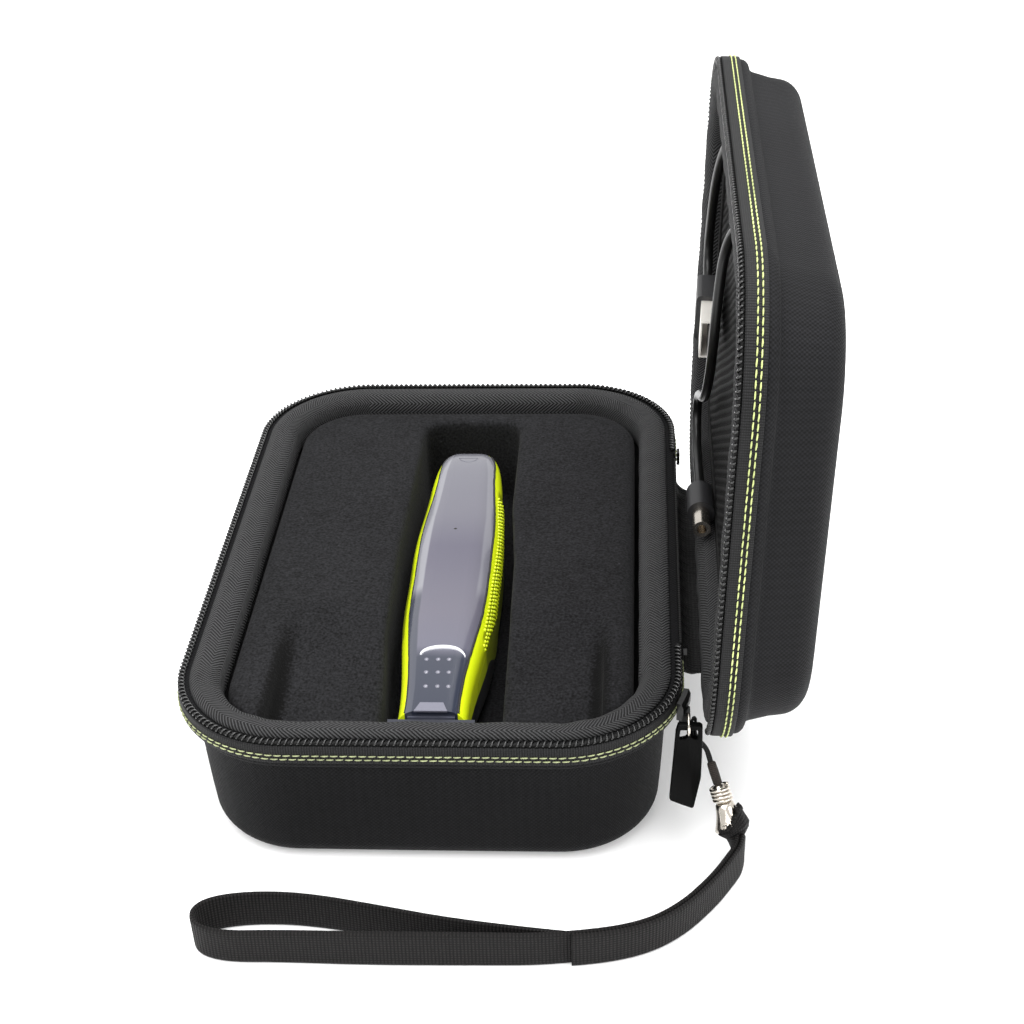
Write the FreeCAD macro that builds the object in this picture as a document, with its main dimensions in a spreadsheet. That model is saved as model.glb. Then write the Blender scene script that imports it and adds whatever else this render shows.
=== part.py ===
"""Zipped hard carrying case for an electric shaver, open, with the shaver and its charging lead inside.

Millimetres, +Z up. The origin is the centre of the base's underside. +X points at the hinge,
+Y along the case's length, and the wrist strap lies at -Y.
Lid pieces are modelled like base pieces, opening upwards, and are then turned into place.
"""
import FreeCAD, Part
import math
import os
import Sketcher

V = FreeCAD.Vector

# alias, value in millimetres or degrees, what it is
SIZES = [
    ("case_width", 140.0, "outline across, over the zipper tape"),
    ("case_length", 203.0, "outline along"),
    ("case_corner", 34.0, "corner radius of the outline"),
    ("base_height", 45.0, "underside to base rim"),
    ("lid_height", 25.0, "lid's outer face to lid rim"),
    ("rim_gap", 4.0, "between the two rims when closed, filled by coils and bindings"),
    ("flange_height", 8.5, "rim band"),
    ("flange_step", 4.5, "outline to the wall under the band"),
    ("wall_draft", 2.0, "how far the wall leans in by the underside"),
    ("edge_round", 7.5, "underside edge radius"),
    ("band_round", 2.5, "lower edge radius of the rim band"),
    ("rim_width", 10.0, "outline to the inner face of the wall"),
    ("floor_thickness", 3.5, "shell floor"),
    ("floor_round", 4.0, "radius inside, where the wall meets the floor"),
    ("lining_thickness", 0.8, "fabric lining"),
    ("lining_slack", 0.1, "between lining and wall"),
    ("tape_thickness", 0.8, "zipper tape"),
    ("tape_width", 5.5, "height of the zipper tape on the rim band"),
    ("coil_width", 2.2, "zipper coil across"),
    ("coil_height", 1.6, "zipper coil above the rim"),
    ("coil_round", 0.8, "coil edge radius"),
    ("stitch_depth", 3.5, "rim to the middle of the stitching"),
    ("stitch_spacing", 1.2, "between the two rows"),
    ("stitch_width", 0.5, "thread across"),
    ("stitch_height", 0.25, "thread above the tape"),
    ("zip_end", 55.0, "half length of the hinge side that has no zipper"),
    ("lid_coil_gap", 14.0, "front end of the outline to where the lid's coil ends by the slider"),
    ("binding_start", 3.2, "outline to the outer edge of the binding"),
    ("binding_end", 12.0, "outline to the inner edge of the binding"),
    ("binding_crown", 1.5, "binding above the rim"),
    ("binding_round", 1.2, "binding edge radius"),
    ("binding_leg", 9.0, "binding inside the wall, below the rim"),
    ("hinge_inside", 4.6, "outline to the hinge line"),
    ("hinge_below", 7.4, "rim to the hinge line"),
    ("open_angle", 92.5, "lid angle as it stands open"),
    ("gusset_half", 52.0, "half length of the hinge gusset"),
    ("gusset_thickness", 0.8, "hinge gusset fabric"),
    ("gusset_clearance", 0.3, "gusset to the lid's tape"),
    ("gusset_lap", 6.5, "gusset sewn on the base's rim band"),
    ("gusset_bend", 4.9, "middle radius of the gusset's fold"),
    ("gusset_reach", 5.0, "gusset under the lid's rim band"),
    ("tray_side_gap", 13.5, "outline to the tray's side"),
    ("tray_end_gap", 13.0, "outline to the tray's end"),
    ("tray_corner", 20.0, "tray corner radius"),
    ("tray_below", 2.5, "rim to the tray's top"),
    ("tray_round", 3.0, "tray's top edge radius"),
    ("tray_foot_round", 1.5, "tray's lower edge radius"),
    ("tray_floor", 11.2, "cavity floor above the underside"),
    ("tray_skin", 3.0, "moulded tray wall"),
    ("tray_ramp_start", 30.0, "where the front of the tray starts to slope, from the middle"),
    ("tray_ramp_drop", 9.0, "how far the slope falls"),
    ("tray_ramp_left", 44.0, "slope's left shoulder"),
    ("tray_ramp_right", 48.0, "slope's right shoulder"),
    ("shaver_axis_x", 1.3, "shaver's middle line"),
    ("butt_gap", 35.5, "outline to the closed end of the shaver"),
    ("neck_gap", 22.0, "outline to where the handle ends and the head begins"),
    ("shaver_bottom", 11.6, "shaver's lowest grip surface"),
    ("shaver_below", 2.8, "rim to the shaver's highest surface"),
    ("shaver_wall", 1.8, "handle shell"),
    ("shaver_belly", 13.5, "half width of the handle at its widest"),
    ("panel_thickness", 1.6, "back panel"),
    ("panel_margin", 2.4, "lime edge beside the back panel"),
    ("panel_gap", 0.1, "seam round the back panel"),
    ("cavity_clearance", 2.6, "shaver to cavity wall"),
    ("front_half", 7.4, "front panel, half across"),
    ("front_from", 33.6, "neck to the front panel"),
    ("front_to", 30.1, "butt to the front panel"),
    ("board_height", 7.2, "circuit board above the shaver's front"),
    ("board_half", 7.5, "circuit board, half across"),
    ("board_from", 35.5, "neck to the circuit board"),
    ("board_to", 16.0, "butt to the circuit board"),
    ("post_inset", 3.0, "end of the circuit board to a post"),
    ("post_radius", 1.5, "posts under the circuit board"),
    ("button_radius", 5.0, "power button"),
    ("button_travel", 1.0, "power button press"),
    ("button_clearance", 0.3, "round the power button"),
    ("battery_radius", 7.0, "cell"),
    ("battery_from", 14.0, "butt to the cell"),
    ("battery_gap", 5.0, "cell to motor"),
    ("motor_radius", 8.0, "motor"),
    ("motor_length", 24.0, "motor"),
    ("motor_from", 75.5, "neck to the motor's back end"),
    ("grip_from", 23.5, "neck to the side grips"),
    ("grip_to", 18.0, "butt to the side grips"),
    ("head_half_width", 12.0, "guard, half across"),
    ("head_length", 7.0, "guard beyond the handle"),
    ("cutter_play", 0.75, "cutter stroke each way"),
    ("slider_angle", 16.2, "slider's place round the corner"),
    ("slider_sweep", 12.0, "slider's length round the corner"),
    ("slider_clearance", 0.35, "slider to coil and tape"),
    ("slider_plate", 2.0, "slider's plate"),
    ("slider_drop", 6.2, "slider's lower edge below the rim"),
    ("slider_below", 0.7, "slider's upper edge below the rim, clear of the closing lid"),
    ("bail_wire", 0.9, "slider bail wire diameter"),
    ("bail_radius", 2.8, "slider bail ring radius"),
    ("tab_width", 7.8, "pull tab"),
    ("tab_length", 29.0, "pull tab"),
    ("tab_thickness", 2.0, "pull tab"),
    ("tab_window_width", 5.0, "pull tab window"),
    ("tab_window_height", 3.6, "pull tab window"),
    ("tab_bar", 1.4, "pull tab's bar over the window"),
    ("tab_pivot_out", 35.3, "corner's middle to the pull tab pivot, sideways"),
    ("tab_pivot_ahead", 16.5, "corner's middle to the pull tab pivot, forwards"),
    ("tab_pivot_below", 5.7, "rim to the pull tab pivot"),
    ("cord_joint", 2.3, "pull tab pivot down to where the strap turns in the cord's loop"),
    ("cord_diameter", 1.2, "thin cord of the wrist strap"),
    ("sleeve_diameter", 2.6, "sleeve on the cord"),
    ("sleeve_length", 6.5, "sleeve on the cord"),
    ("wire_coil_radius", 2.4, "wire coil, middle of the wire"),
    ("wire_coil_wire", 0.9, "wire coil, wire diameter"),
    ("wire_coil_pitch", 1.35, "wire coil"),
    ("clasp_small", 2.2, "bell clasp's small radius"),
    ("clasp_mouth", 4.6, "bell clasp's mouth radius"),
    ("clasp_length", 7.5, "bell clasp"),
    ("clasp_wall", 0.7, "bell clasp"),
    ("strap_height", 11.0, "webbing width, standing on its edge"),
    ("strap_thickness", 1.3, "one layer of webbing"),
    ("strap_lift", 0.2, "webbing above the table"),
    ("net_depth", 4.5, "lid rim to the pocket net's outer face"),
    ("net_slack", 0.3, "net and hem to the binding round them"),
    ("net_thickness", 0.8, "pocket net"),
    ("net_top", 30.0, "pocket mouth, from the lid's middle towards its top"),
    ("hem_width", 5.0, "elastic hem at the pocket mouth"),
    ("hem_thickness", 1.6, "elastic hem"),
    ("lead_diameter", 3.0, "charging lead"),
    ("hank_half_length", 40.0, "hank of lead, half of its straight runs"),
    ("hank_turn", 20.0, "hank of lead, radius of its turns"),
    ("hank_bundle", 4.5, "hank of lead, radius of the bundle"),
    ("hank_clearance", 0.3, "hank to the lid's lining"),
    ("tie_wall", 0.9, "band round the hank"),
    ("tie_width", 5.0, "band round the hank"),
    ("usb_width", 12.0, "plug shell, wide side"),
    ("usb_thickness", 4.5, "plug shell"),
    ("usb_length", 15.0, "plug shell beyond its moulding"),
    ("usb_wall", 0.5, "plug shell"),
    ("mould_width", 15.0, "plug moulding"),
    ("mould_thickness", 7.5, "plug moulding"),
    ("mould_length", 16.0, "plug moulding"),
    ("jack_radius", 2.7, "charging plug's barrel"),
    ("jack_length", 9.0, "charging plug's barrel"),
    ("jack_grip_radius", 4.2, "charging plug's grip"),
    ("jack_grip_length", 13.0, "charging plug's grip"),
    ("stop_width", 3.2, "zipper end stop along the tape"),
    ("stop_thickness", 1.0, "zipper end stop"),
    ("button_place", 65.5, "neck to the power button"),
    ("switch_gap", 1.1, "button to its switch at rest"),
    ("socket_width", 9.0, "charging socket in the shaver's butt"),
    ("socket_height", 6.0, "charging socket"),
]

doc = FreeCAD.newDocument("ShaverCase")
sheet = doc.addObject("Spreadsheet::Sheet", "Sizes")
for line, (alias, value, meaning) in enumerate(SIZES, 1):
    sheet.set(f"A{line}", alias)
    sheet.set(f"B{line}", str(value))
    sheet.set(f"C{line}", meaning)
    sheet.setAlias(f"B{line}", alias)
doc.recompute()

PARTS = []
RIM = {"base": "Sizes.base_height", "lid": "Sizes.lid_height"}


def size(alias):
    """Value of one cell of the sheet."""
    return float(sheet.get(alias))


def number(expression):
    """Value of an expression of sheet cells."""
    value = sheet.evalExpression(expression)
    return float(getattr(value, "Value", value))


def lid_placement():
    """Turns a lid piece from lying with its opening upwards to where the open lid stands."""
    closed = FreeCAD.Placement(V(0, 0, size("base_height") + size("rim_gap") + size("lid_height")),
                               FreeCAD.Rotation(V(0, 1, 0), 180))
    opened = FreeCAD.Placement(V(0, 0, 0), FreeCAD.Rotation(V(0, 1, 0), size("open_angle")),
                               V(number("Sizes.case_width / 2 - Sizes.hinge_inside"), 0,
                                 number("Sizes.base_height - Sizes.hinge_below")))
    return opened.multiply(closed)


PLACE = {"base": FreeCAD.Placement(), "lid": lid_placement()}


def keep(piece, label, place=None):
    """Registers a finished sub-part under its own name and puts it in its place."""
    piece.Label = label
    if place is not None:
        piece.Placement = place.multiply(piece.Placement)
    PARTS.append(piece)
    return piece


# ---------------------------------------------------------------- sketches and features

def new_body(label):
    return doc.addObject("PartDesign::Body", label)


def sketch_on(body, name, lift=None, role="XY_Plane"):
    """A sketch on one of the body's own origin planes, raised by an expression."""
    plane = next(f for f in body.Origin.OriginFeatures if f.Role == role)
    sketch = body.newObject("Sketcher::SketchObject", name)
    sketch.AttachmentSupport = [(plane, "")]
    sketch.MapMode = "FlatFace"
    if lift is not None:
        sketch.setExpression("AttachmentOffset.Base.z", lift)
    return sketch


def bind(sketch, constraint, expression):
    index = sketch.addConstraint(constraint)
    sketch.setExpression(f"Constraints[{index}]", expression)


def rounded_outline(sketch, half_x, half_y, radius):
    """Rounded rectangle about the sketch's origin, its three sizes bound to expressions."""
    x, y, r = number(half_x), number(half_y), number(radius)
    corners = [(x - r, y - r, 0), (r - x, y - r, 90), (r - x, r - y, 180), (x - r, r - y, 270)]
    arcs, sides = [], []
    for cx, cy, start in corners:
        circle = Part.Circle(V(cx, cy, 0), V(0, 0, 1), r)
        begin, finish = math.radians(start), math.radians(start + 90)
        arcs.append(sketch.addGeometry(Part.ArcOfCircle(circle, begin, finish), False))
    for k, (cx, cy, start) in enumerate(corners):
        nx, ny, turn = corners[(k + 1) % 4]
        a = math.radians(start + 90)
        b = math.radians(turn)
        here = V(cx + r * math.cos(a), cy + r * math.sin(a), 0)
        there = V(nx + r * math.cos(b), ny + r * math.sin(b), 0)
        sides.append(sketch.addGeometry(Part.LineSegment(here, there), False))
    for k in range(4):
        sketch.addConstraint(Sketcher.Constraint("Tangent", arcs[k], 2, sides[k], 1))
        sketch.addConstraint(Sketcher.Constraint("Tangent", sides[k], 2, arcs[(k + 1) % 4], 1))
    for k, way in enumerate(("Horizontal", "Vertical", "Horizontal", "Vertical")):
        sketch.addConstraint(Sketcher.Constraint(way, sides[k]))
    for k in range(1, 4):
        sketch.addConstraint(Sketcher.Constraint("Equal", arcs[0], arcs[k]))
    bind(sketch, Sketcher.Constraint("Radius", arcs[0], r), radius)
    bind(sketch, Sketcher.Constraint("DistanceX", -1, 1, sides[3], 1, x), half_x)
    bind(sketch, Sketcher.Constraint("DistanceX", sides[1], 1, -1, 1, x), half_x)
    bind(sketch, Sketcher.Constraint("DistanceY", -1, 1, sides[0], 1, y), half_y)
    bind(sketch, Sketcher.Constraint("DistanceY", sides[2], 1, -1, 1, y), half_y)


def box_outline(sketch, low_x, high_x, low_y, high_y):
    """Rectangle with each side bound to an expression."""
    x0, x1, y0, y1 = (number(e) for e in (low_x, high_x, low_y, high_y))
    points = [V(x0, y0, 0), V(x1, y0, 0), V(x1, y1, 0), V(x0, y1, 0)]
    lines = [sketch.addGeometry(Part.LineSegment(points[k], points[(k + 1) % 4]), False) for k in range(4)]
    for k in range(4):
        sketch.addConstraint(Sketcher.Constraint("Coincident", lines[k], 2, lines[(k + 1) % 4], 1))
        sketch.addConstraint(Sketcher.Constraint("Horizontal" if k % 2 == 0 else "Vertical", lines[k]))
    bind(sketch, Sketcher.Constraint("DistanceX", -1, 1, lines[3], 1, x0), low_x)
    bind(sketch, Sketcher.Constraint("DistanceX", -1, 1, lines[1], 1, x1), high_x)
    bind(sketch, Sketcher.Constraint("DistanceY", -1, 1, lines[0], 1, y0), low_y)
    bind(sketch, Sketcher.Constraint("DistanceY", -1, 1, lines[2], 1, y1), high_y)


def pad(body, sketch, length, taper=None, middle=False):
    feature = body.newObject("PartDesign::Pad", sketch.Name + "_pad")
    feature.Profile = sketch
    feature.setExpression("Length", length)
    if taper is not None:
        feature.setExpression("TaperAngle", taper)
    if middle:
        feature.Midplane = True
    sketch.Visibility = False
    doc.recompute()
    return feature


def pocket(body, sketch, length, upwards=False):
    """Cuts below the sketch, or above it."""
    before = body.Shape.Volume
    feature = body.newObject("PartDesign::Pocket", sketch.Name + "_pocket")
    feature.Profile = sketch
    feature.setExpression("Length", length)
    feature.Reversed = upwards
    doc.recompute()
    if body.Shape.Volume >= before:
        raise ValueError(f"{sketch.Name} cut nothing from {body.Label}")
    return feature


def round_edges(body, base, radius, chosen):
    """Fillets the edges of the body's last feature that a test picks."""
    names = [f"Edge{n}" for n, edge in enumerate(base.Shape.Edges, 1) if chosen(edge)]
    if not names:
        raise ValueError(f"no edge to round on {body.Label}")
    feature = body.newObject("PartDesign::Fillet", base.Name + "_round")
    feature.Base = (base, names)
    feature.setExpression("Radius", radius)
    doc.recompute()
    return feature


def at_height(z):
    """Test for edges that lie flat at one height."""
    return lambda edge: (abs(edge.BoundBox.ZMin - z) < 0.01 and abs(edge.BoundBox.ZMax - z) < 0.01)


def inset(distance):
    """Half width, half length and corner radius of the case's outline, moved in by an expression."""
    return (f"Sizes.case_width / 2 - ({distance})", f"Sizes.case_length / 2 - ({distance})",
            f"Sizes.case_corner - ({distance})")


def ring(body, name, outer, inner, low, height):
    """A band that follows the case's outline between two insets, from one height up."""
    sketch = sketch_on(body, name, low)
    rounded_outline(sketch, *inset(outer))
    rounded_outline(sketch, *inset(inner))
    return pad(body, sketch, height)


def open_hinge_side(body, side, name, low, height, front, back):
    """Cuts a ring open on its hinge side, between two places along the case."""
    sketch = sketch_on(body, name, low)
    if side == "base":
        box_outline(sketch, "Sizes.case_width / 4", "Sizes.case_width", front, back)
    else:
        box_outline(sketch, "-Sizes.case_width", "-Sizes.case_width / 4", front, back)
    return pocket(body, sketch, height, upwards=True)


# ---------------------------------------------------------------- the two halves of the case

def shell(side):
    """Moulded shell: drafted wall, rounded underside, rim band and hollow."""
    rim = RIM[side]
    body = new_body(f"{side}_shell")
    foot = sketch_on(body, f"{side}_foot")
    narrow = "Sizes.flange_step + Sizes.wall_draft"
    x, y, corner = inset(narrow)
    box_outline(foot, f"-({x})", x, f"-({y})", y)
    wall_height = f"({rim} - Sizes.flange_height)"
    wall = pad(body, foot, wall_height, taper=f"atan(Sizes.wall_draft / {wall_height})")
    upright = round_edges(body, wall, corner, lambda e: e.BoundBox.ZLength > number(wall_height) - 0.1)
    under = round_edges(body, upright, "Sizes.edge_round", at_height(0))
    band_sketch = sketch_on(body, f"{side}_band", wall_height)
    rounded_outline(band_sketch, *inset("Sizes.tape_thickness"))
    band = pad(body, band_sketch, "Sizes.flange_height")
    outer = number("Sizes.case_width / 2 - Sizes.flange_step + 1")
    lower_edge = at_height(number(wall_height))
    band = round_edges(body, band, "Sizes.band_round",
                       lambda e: lower_edge(e) and abs(e.CenterOfMass.x) + abs(e.CenterOfMass.y) > 1
                       and outside(e, outer))
    hollow = sketch_on(body, f"{side}_hollow", rim)
    rounded_outline(hollow, *inset("Sizes.rim_width"))
    cut = pocket(body, hollow, f"{rim} - Sizes.floor_thickness")
    round_edges(body, cut, "Sizes.floor_round", at_height(size("floor_thickness")))
    keep(body, f"{side}_shell", PLACE[side])


def outside(edge, half_width):
    """True for an edge of the rim band's outline, false for one of the wall's."""
    half_length = half_width + number("(Sizes.case_length - Sizes.case_width) / 2")
    middle = edge.valueAt((edge.FirstParameter + edge.LastParameter) / 2)
    corner = number("Sizes.case_corner") - number("Sizes.case_width / 2") + half_width
    cx, cy = half_width - corner, half_length - corner
    dx, dy = max(abs(middle.x) - cx, 0), max(abs(middle.y) - cy, 0)
    return math.hypot(dx, dy) > corner


def lining(side):
    """Fabric lining: a thin tub inside the shell, up to the binding."""
    rim = RIM[side]
    body = new_body(f"{side}_lining")
    outline = sketch_on(body, f"{side}_lining_outline", "Sizes.floor_thickness")
    rounded_outline(outline, *inset("Sizes.rim_width + Sizes.lining_slack"))
    height = f"{rim} - Sizes.floor_thickness - Sizes.binding_leg - Sizes.lining_slack"
    tub = pad(body, outline, height)
    tub = round_edges(body, tub, "Sizes.floor_round", at_height(size("floor_thickness")))
    top = number(f"Sizes.floor_thickness + {height}")
    mouth = next(n for n, face in enumerate(tub.Shape.Faces, 1) if face.BoundBox.ZMin > top - 0.01)
    hollow = body.newObject("PartDesign::Thickness", f"{side}_lining_hollow")
    hollow.Base = (tub, [f"Face{mouth}"])
    hollow.Reversed = True
    hollow.setExpression("Value", "Sizes.lining_thickness")
    doc.recompute()
    keep(body, f"{side}_lining", PLACE[side])


def binding(side):
    """Padded fabric binding rolled over the rim and down the inner face of the wall."""
    rim = RIM[side]
    body = new_body(f"{side}_binding")
    ring(body, f"{side}_binding_leg", "Sizes.rim_width + Sizes.lining_slack", "Sizes.binding_end",
         f"{rim} - Sizes.binding_leg", "Sizes.binding_leg")
    crown = ring(body, f"{side}_binding_crown", "Sizes.binding_start", "Sizes.binding_end",
                 rim, "Sizes.binding_crown")
    round_edges(body, crown, "Sizes.binding_round", at_height(number(f"{rim} + Sizes.binding_crown")))
    keep(body, f"{side}_binding", PLACE[side])


def zip_tape(side):
    """Woven tape of the zipper, sewn round the rim band except along the hinge."""
    body = new_body(f"{side}_zip_tape")
    low = f"{RIM[side]} - Sizes.tape_width"
    ring(body, f"{side}_tape", "0", "Sizes.tape_thickness", low, "Sizes.tape_width")
    open_hinge_side(body, side, f"{side}_tape_gap", low, "Sizes.tape_width", "-Sizes.zip_end", "Sizes.zip_end")
    keep(body, f"{side}_zip_tape", PLACE[side])


def zip_coil(side):
    """Zipper coil on the rim's outer edge. By the slider the lid's coil ends a little earlier."""
    rim = RIM[side]
    body = new_body(f"{side}_zip_teeth")
    coil = ring(body, f"{side}_coil", "0", "Sizes.coil_width", rim, "Sizes.coil_height")
    round_edges(body, coil, "Sizes.coil_round", at_height(number(f"{rim} + Sizes.coil_height")))
    front = "-Sizes.zip_end" if side == "base" else "Sizes.lid_coil_gap - Sizes.case_length / 2"
    open_hinge_side(body, side, f"{side}_coil_gap", rim, "Sizes.coil_height", front, "Sizes.zip_end")
    keep(body, f"{side}_zip_teeth", PLACE[side])


def stitches(side):
    """Two rows of thread on the tape."""
    rim = RIM[side]
    for row, sign in (("upper", "-"), ("lower", "+")):
        middle = f"{rim} - Sizes.stitch_depth {sign} Sizes.stitch_spacing / 2"
        part = new_body(f"{side}_stitches_{row}")
        low = f"{middle} - Sizes.stitch_width / 2"
        ring(part, f"{side}_thread_{row}", "-Sizes.stitch_height", "0", low, "Sizes.stitch_width")
        open_hinge_side(part, side, f"{side}_thread_gap_{row}", low, "Sizes.stitch_width",
                        "-Sizes.zip_end", "Sizes.zip_end")
    pair = doc.addObject("Part::Compound", f"{side}_stitches_pair")
    pair.Links = [doc.getObject(f"{side}_stitches_upper"), doc.getObject(f"{side}_stitches_lower")]
    doc.recompute()
    keep(pair, f"{side}_stitches", PLACE[side])


# ---------------------------------------------------------------- plain solids from the sheet

def solid(label, shape, place=None):
    """A sub-part whose shape is worked out here from the sheet's sizes."""
    piece = doc.addObject("Part::Feature", label)
    piece.Shape = shape
    return keep(piece, label, place)


def face_of(points):
    """Flat face with straight sides."""
    return Part.Face(Part.makePolygon(list(points) + [points[0]]))


def block(x0, x1, y0, y1, z0, z1):
    return Part.makeBox(x1 - x0, y1 - y0, z1 - z0, V(x0, y0, z0))


def rod(start, end, radius):
    return Part.makeCylinder(radius, (end - start).Length, start, end - start)


def rounded_route(points):
    """Straight runs joined by arcs whose radius is 0.45 of the shorter run over the tangent of half the turn."""
    edges, radii, start = [], [], points[0]
    for before, corner, after in zip(points, points[1:], points[2:]):
        arrive, leave = (corner - before).normalize(), (after - corner).normalize()
        turn = arrive.getAngle(leave)
        shorter = min((corner - before).Length, (after - corner).Length)
        back = 0.45 * shorter
        radii.append(back / math.tan(turn / 2))
        enter, leave_at = corner - arrive * back, corner + leave * back
        inward = (leave - arrive).normalize()
        middle = corner + inward * (radii[-1] / math.cos(turn / 2) - radii[-1])
        edges.append(Part.LineSegment(start, enter).toShape())
        edges.append(Part.Arc(enter, middle, leave_at).toShape())
        start = leave_at
    edges.append(Part.LineSegment(start, points[-1]).toShape())
    return Part.Wire(edges), radii


def tube(points, radius, label):
    """Round cord along a route."""
    wire, radii = rounded_route(points)
    first = wire.Edges[0]
    direction = first.tangentAt(first.FirstParameter)
    profile = Part.Wire(Part.Circle(points[0], direction, radius).toShape())
    shape = wire.makePipeShell([profile], True, False)
    expected = math.pi * radius ** 2 * wire.Length
    print(f"{label}: length {wire.Length:.1f}, radii {[round(r, 1) for r in radii]}, "
          f"volume over section times length {shape.Volume / expected:.3f}")
    return shape


def band(points, thickness, low, height, label):
    """Webbing on its edge along a flat route: the area between two lines, drawn up to its width."""
    wire, radii = rounded_route(points)
    sides = []
    for shift in (thickness / 2, -thickness / 2):
        edges = []
        for edge in wire.Edges:
            a, m, b = (edge.valueAt(edge.FirstParameter + (edge.LastParameter - edge.FirstParameter) * f)
                       for f in (0.0, 0.5, 1.0))
            moved = []
            for point, f in ((a, 0.0), (m, 0.5), (b, 1.0)):
                along = edge.tangentAt(edge.FirstParameter + (edge.LastParameter - edge.FirstParameter) * f)
                moved.append(point + V(-along.y, along.x, 0) * shift)
            straight = edge.Curve.TypeId == "Part::GeomLine"
            edges.append(Part.LineSegment(moved[0], moved[2]).toShape() if straight
                         else Part.Arc(*moved).toShape())
        sides.append(edges)
    first, last = sides[0][0].Vertexes[0].Point, sides[1][0].Vertexes[0].Point
    closing = Part.LineSegment(first, last).toShape()
    far = Part.LineSegment(sides[0][-1].Vertexes[-1].Point, sides[1][-1].Vertexes[-1].Point).toShape()
    loop = Part.Wire(Part.__sortEdges__(sides[0] + [far] + sides[1] + [closing]))
    shape = Part.Face(loop).extrude(V(0, 0, height))
    shape.translate(V(0, 0, low))
    print(f"{label}: length {wire.Length:.1f}, radii {[round(r, 1) for r in radii]}, "
          f"volume over section times length {shape.Volume / (thickness * height * wire.Length):.3f}")
    return shape


# ---------------------------------------------------------------- tray

def butt_y():
    """Closed end of the shaver, along the case."""
    return number("Sizes.case_length / 2 - Sizes.butt_gap")


def neck_y():
    """Where the shaver's handle ends and its head begins."""
    return number("Sizes.neck_gap - Sizes.case_length / 2")


def shaver_top():
    """Height of the shaver's highest surface."""
    return number("Sizes.base_height - Sizes.shaver_below")


def tray_top():
    """Height of the tray's top."""
    return number("Sizes.base_height - Sizes.tray_below")


def shaver_stations():
    """Handle sections from butt to neck: place along, half width, underside and top."""
    butt, neck = butt_y(), neck_y()
    span = butt - neck
    belly, low, high = size("shaver_belly"), size("shaver_bottom"), shaver_top()
    depth = high - low
    return [
        (butt, 0.52 * belly, low + 0.22 * depth, high - 0.16 * depth),
        (butt - 0.035 * span, 0.68 * belly, low + 0.10 * depth, high - 0.05 * depth),
        (butt - 0.12 * span, 0.84 * belly, low + 0.03 * depth, high - 0.01 * depth),
        (butt - 0.32 * span, 0.98 * belly, low, high),
        (butt - 0.52 * span, belly, low, high),
        (butt - 0.70 * span, 0.95 * belly, low, high),
        (butt - 0.82 * span, 0.82 * belly, low + 0.10 * depth, high - 0.01 * depth),
        (butt - 0.92 * span, 0.73 * belly, low + 0.22 * depth, high - 0.04 * depth),
        (neck, 0.72 * belly, low + 0.28 * depth, high - 0.06 * depth),
    ]


def handle_solid(shrink):
    """Handle lofted through its sections, drawn in by a wall thickness."""
    middle = size("shaver_axis_x")
    wires = []
    stations = shaver_stations()
    for k, (y, half, low, high) in enumerate(stations):
        if k == 0:
            y -= shrink
        if k == len(stations) - 1:
            y += shrink
        x0, x1, z0, z1 = middle - half + shrink, middle + half - shrink, low + shrink, high - shrink
        r = min(0.34 * (z1 - z0), 0.62 * (x1 - x0) / 2)
        edges = []
        quarter = math.sqrt(0.5)
        corners = [(x1 - r, z1 - r, 1, 1), (x0 + r, z1 - r, -1, 1), (x0 + r, z0 + r, -1, -1), (x1 - r, z0 + r, 1, -1)]
        ends = []
        for cx, cz, sx, sz in corners:
            side, top = V(cx + sx * r, y, cz), V(cx, y, cz + sz * r)
            first, last = (side, top) if sx * sz > 0 else (top, side)
            ends.append((first, V(cx + sx * r * quarter, y, cz + sz * r * quarter), last))
        for n, (first, mid, last) in enumerate(ends):
            edges.append(Part.Arc(first, mid, last).toShape())
            edges.append(Part.LineSegment(last, ends[(n + 1) % 4][0]).toShape())
        wires.append(Part.Wire(edges))
    return Part.makeLoft(wires, True, False)


def panel_prism(gap):
    """Upright prism over the back panel's outline, drawn in by the seam."""
    middle, margin = size("shaver_axis_x"), size("panel_margin") + gap
    rows = shaver_stations()
    floor = shaver_top() - 0.3 * (shaver_top() - size("shaver_bottom")) + gap
    left = [V(middle - half + margin, y - (margin if k == 0 else 0), floor)
            for k, (y, half, low, high) in enumerate(rows)]
    right = [V(middle + half - margin, p.y, floor) for p, (y, half, low, high) in zip(left, rows)]
    sides = []
    for points in (left, right):
        curve = Part.BSplineCurve()
        curve.interpolate(points)
        sides.append(curve.toShape())
    ends = [Part.LineSegment(left[n], right[n]).toShape() for n in (0, -1)]
    return Part.Face(Part.Wire(Part.__sortEdges__(sides + ends))).extrude(V(0, 0, shaver_top()))


def cavity_prism(grow, floor):
    """Well that holds the shaver, its walls moved out by an amount."""
    middle = size("shaver_axis_x")
    half = size("shaver_belly") + size("cavity_clearance") + grow
    back = butt_y() + 14 + grow
    front = neck_y() - size("head_length") - 1.2 - grow
    neck = neck_y()
    points = [V(middle - half, back, floor), V(middle - half - 1.2, neck + 79.5, floor),
              V(middle - half - 0.6, neck + 39.5, floor), V(middle - half + 1.6, neck + 11.5, floor),
              V(middle - half + 1.6, front, floor), V(middle + half + 3, front, floor),
              V(middle + half + 3, neck + 39.5, floor), V(middle + half + 2.4, neck + 74.5, floor),
              V(middle + half, neck + 107.5, floor), V(middle + half, back, floor)]
    prism = face_of(points).extrude(V(0, 0, 2 * tray_top()))
    upright = [e for e in prism.Edges if abs(e.BoundBox.XLength) < 0.01 and abs(e.BoundBox.YLength) < 0.01]
    ends = [e for e in upright if e.BoundBox.YMin > back - 1 or e.BoundBox.YMin < front + 1]
    bends = [e for e in upright if front + 1 < e.BoundBox.YMin < back - 1]
    return prism.makeFillet(6.0 + grow, ends + bends)


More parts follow.
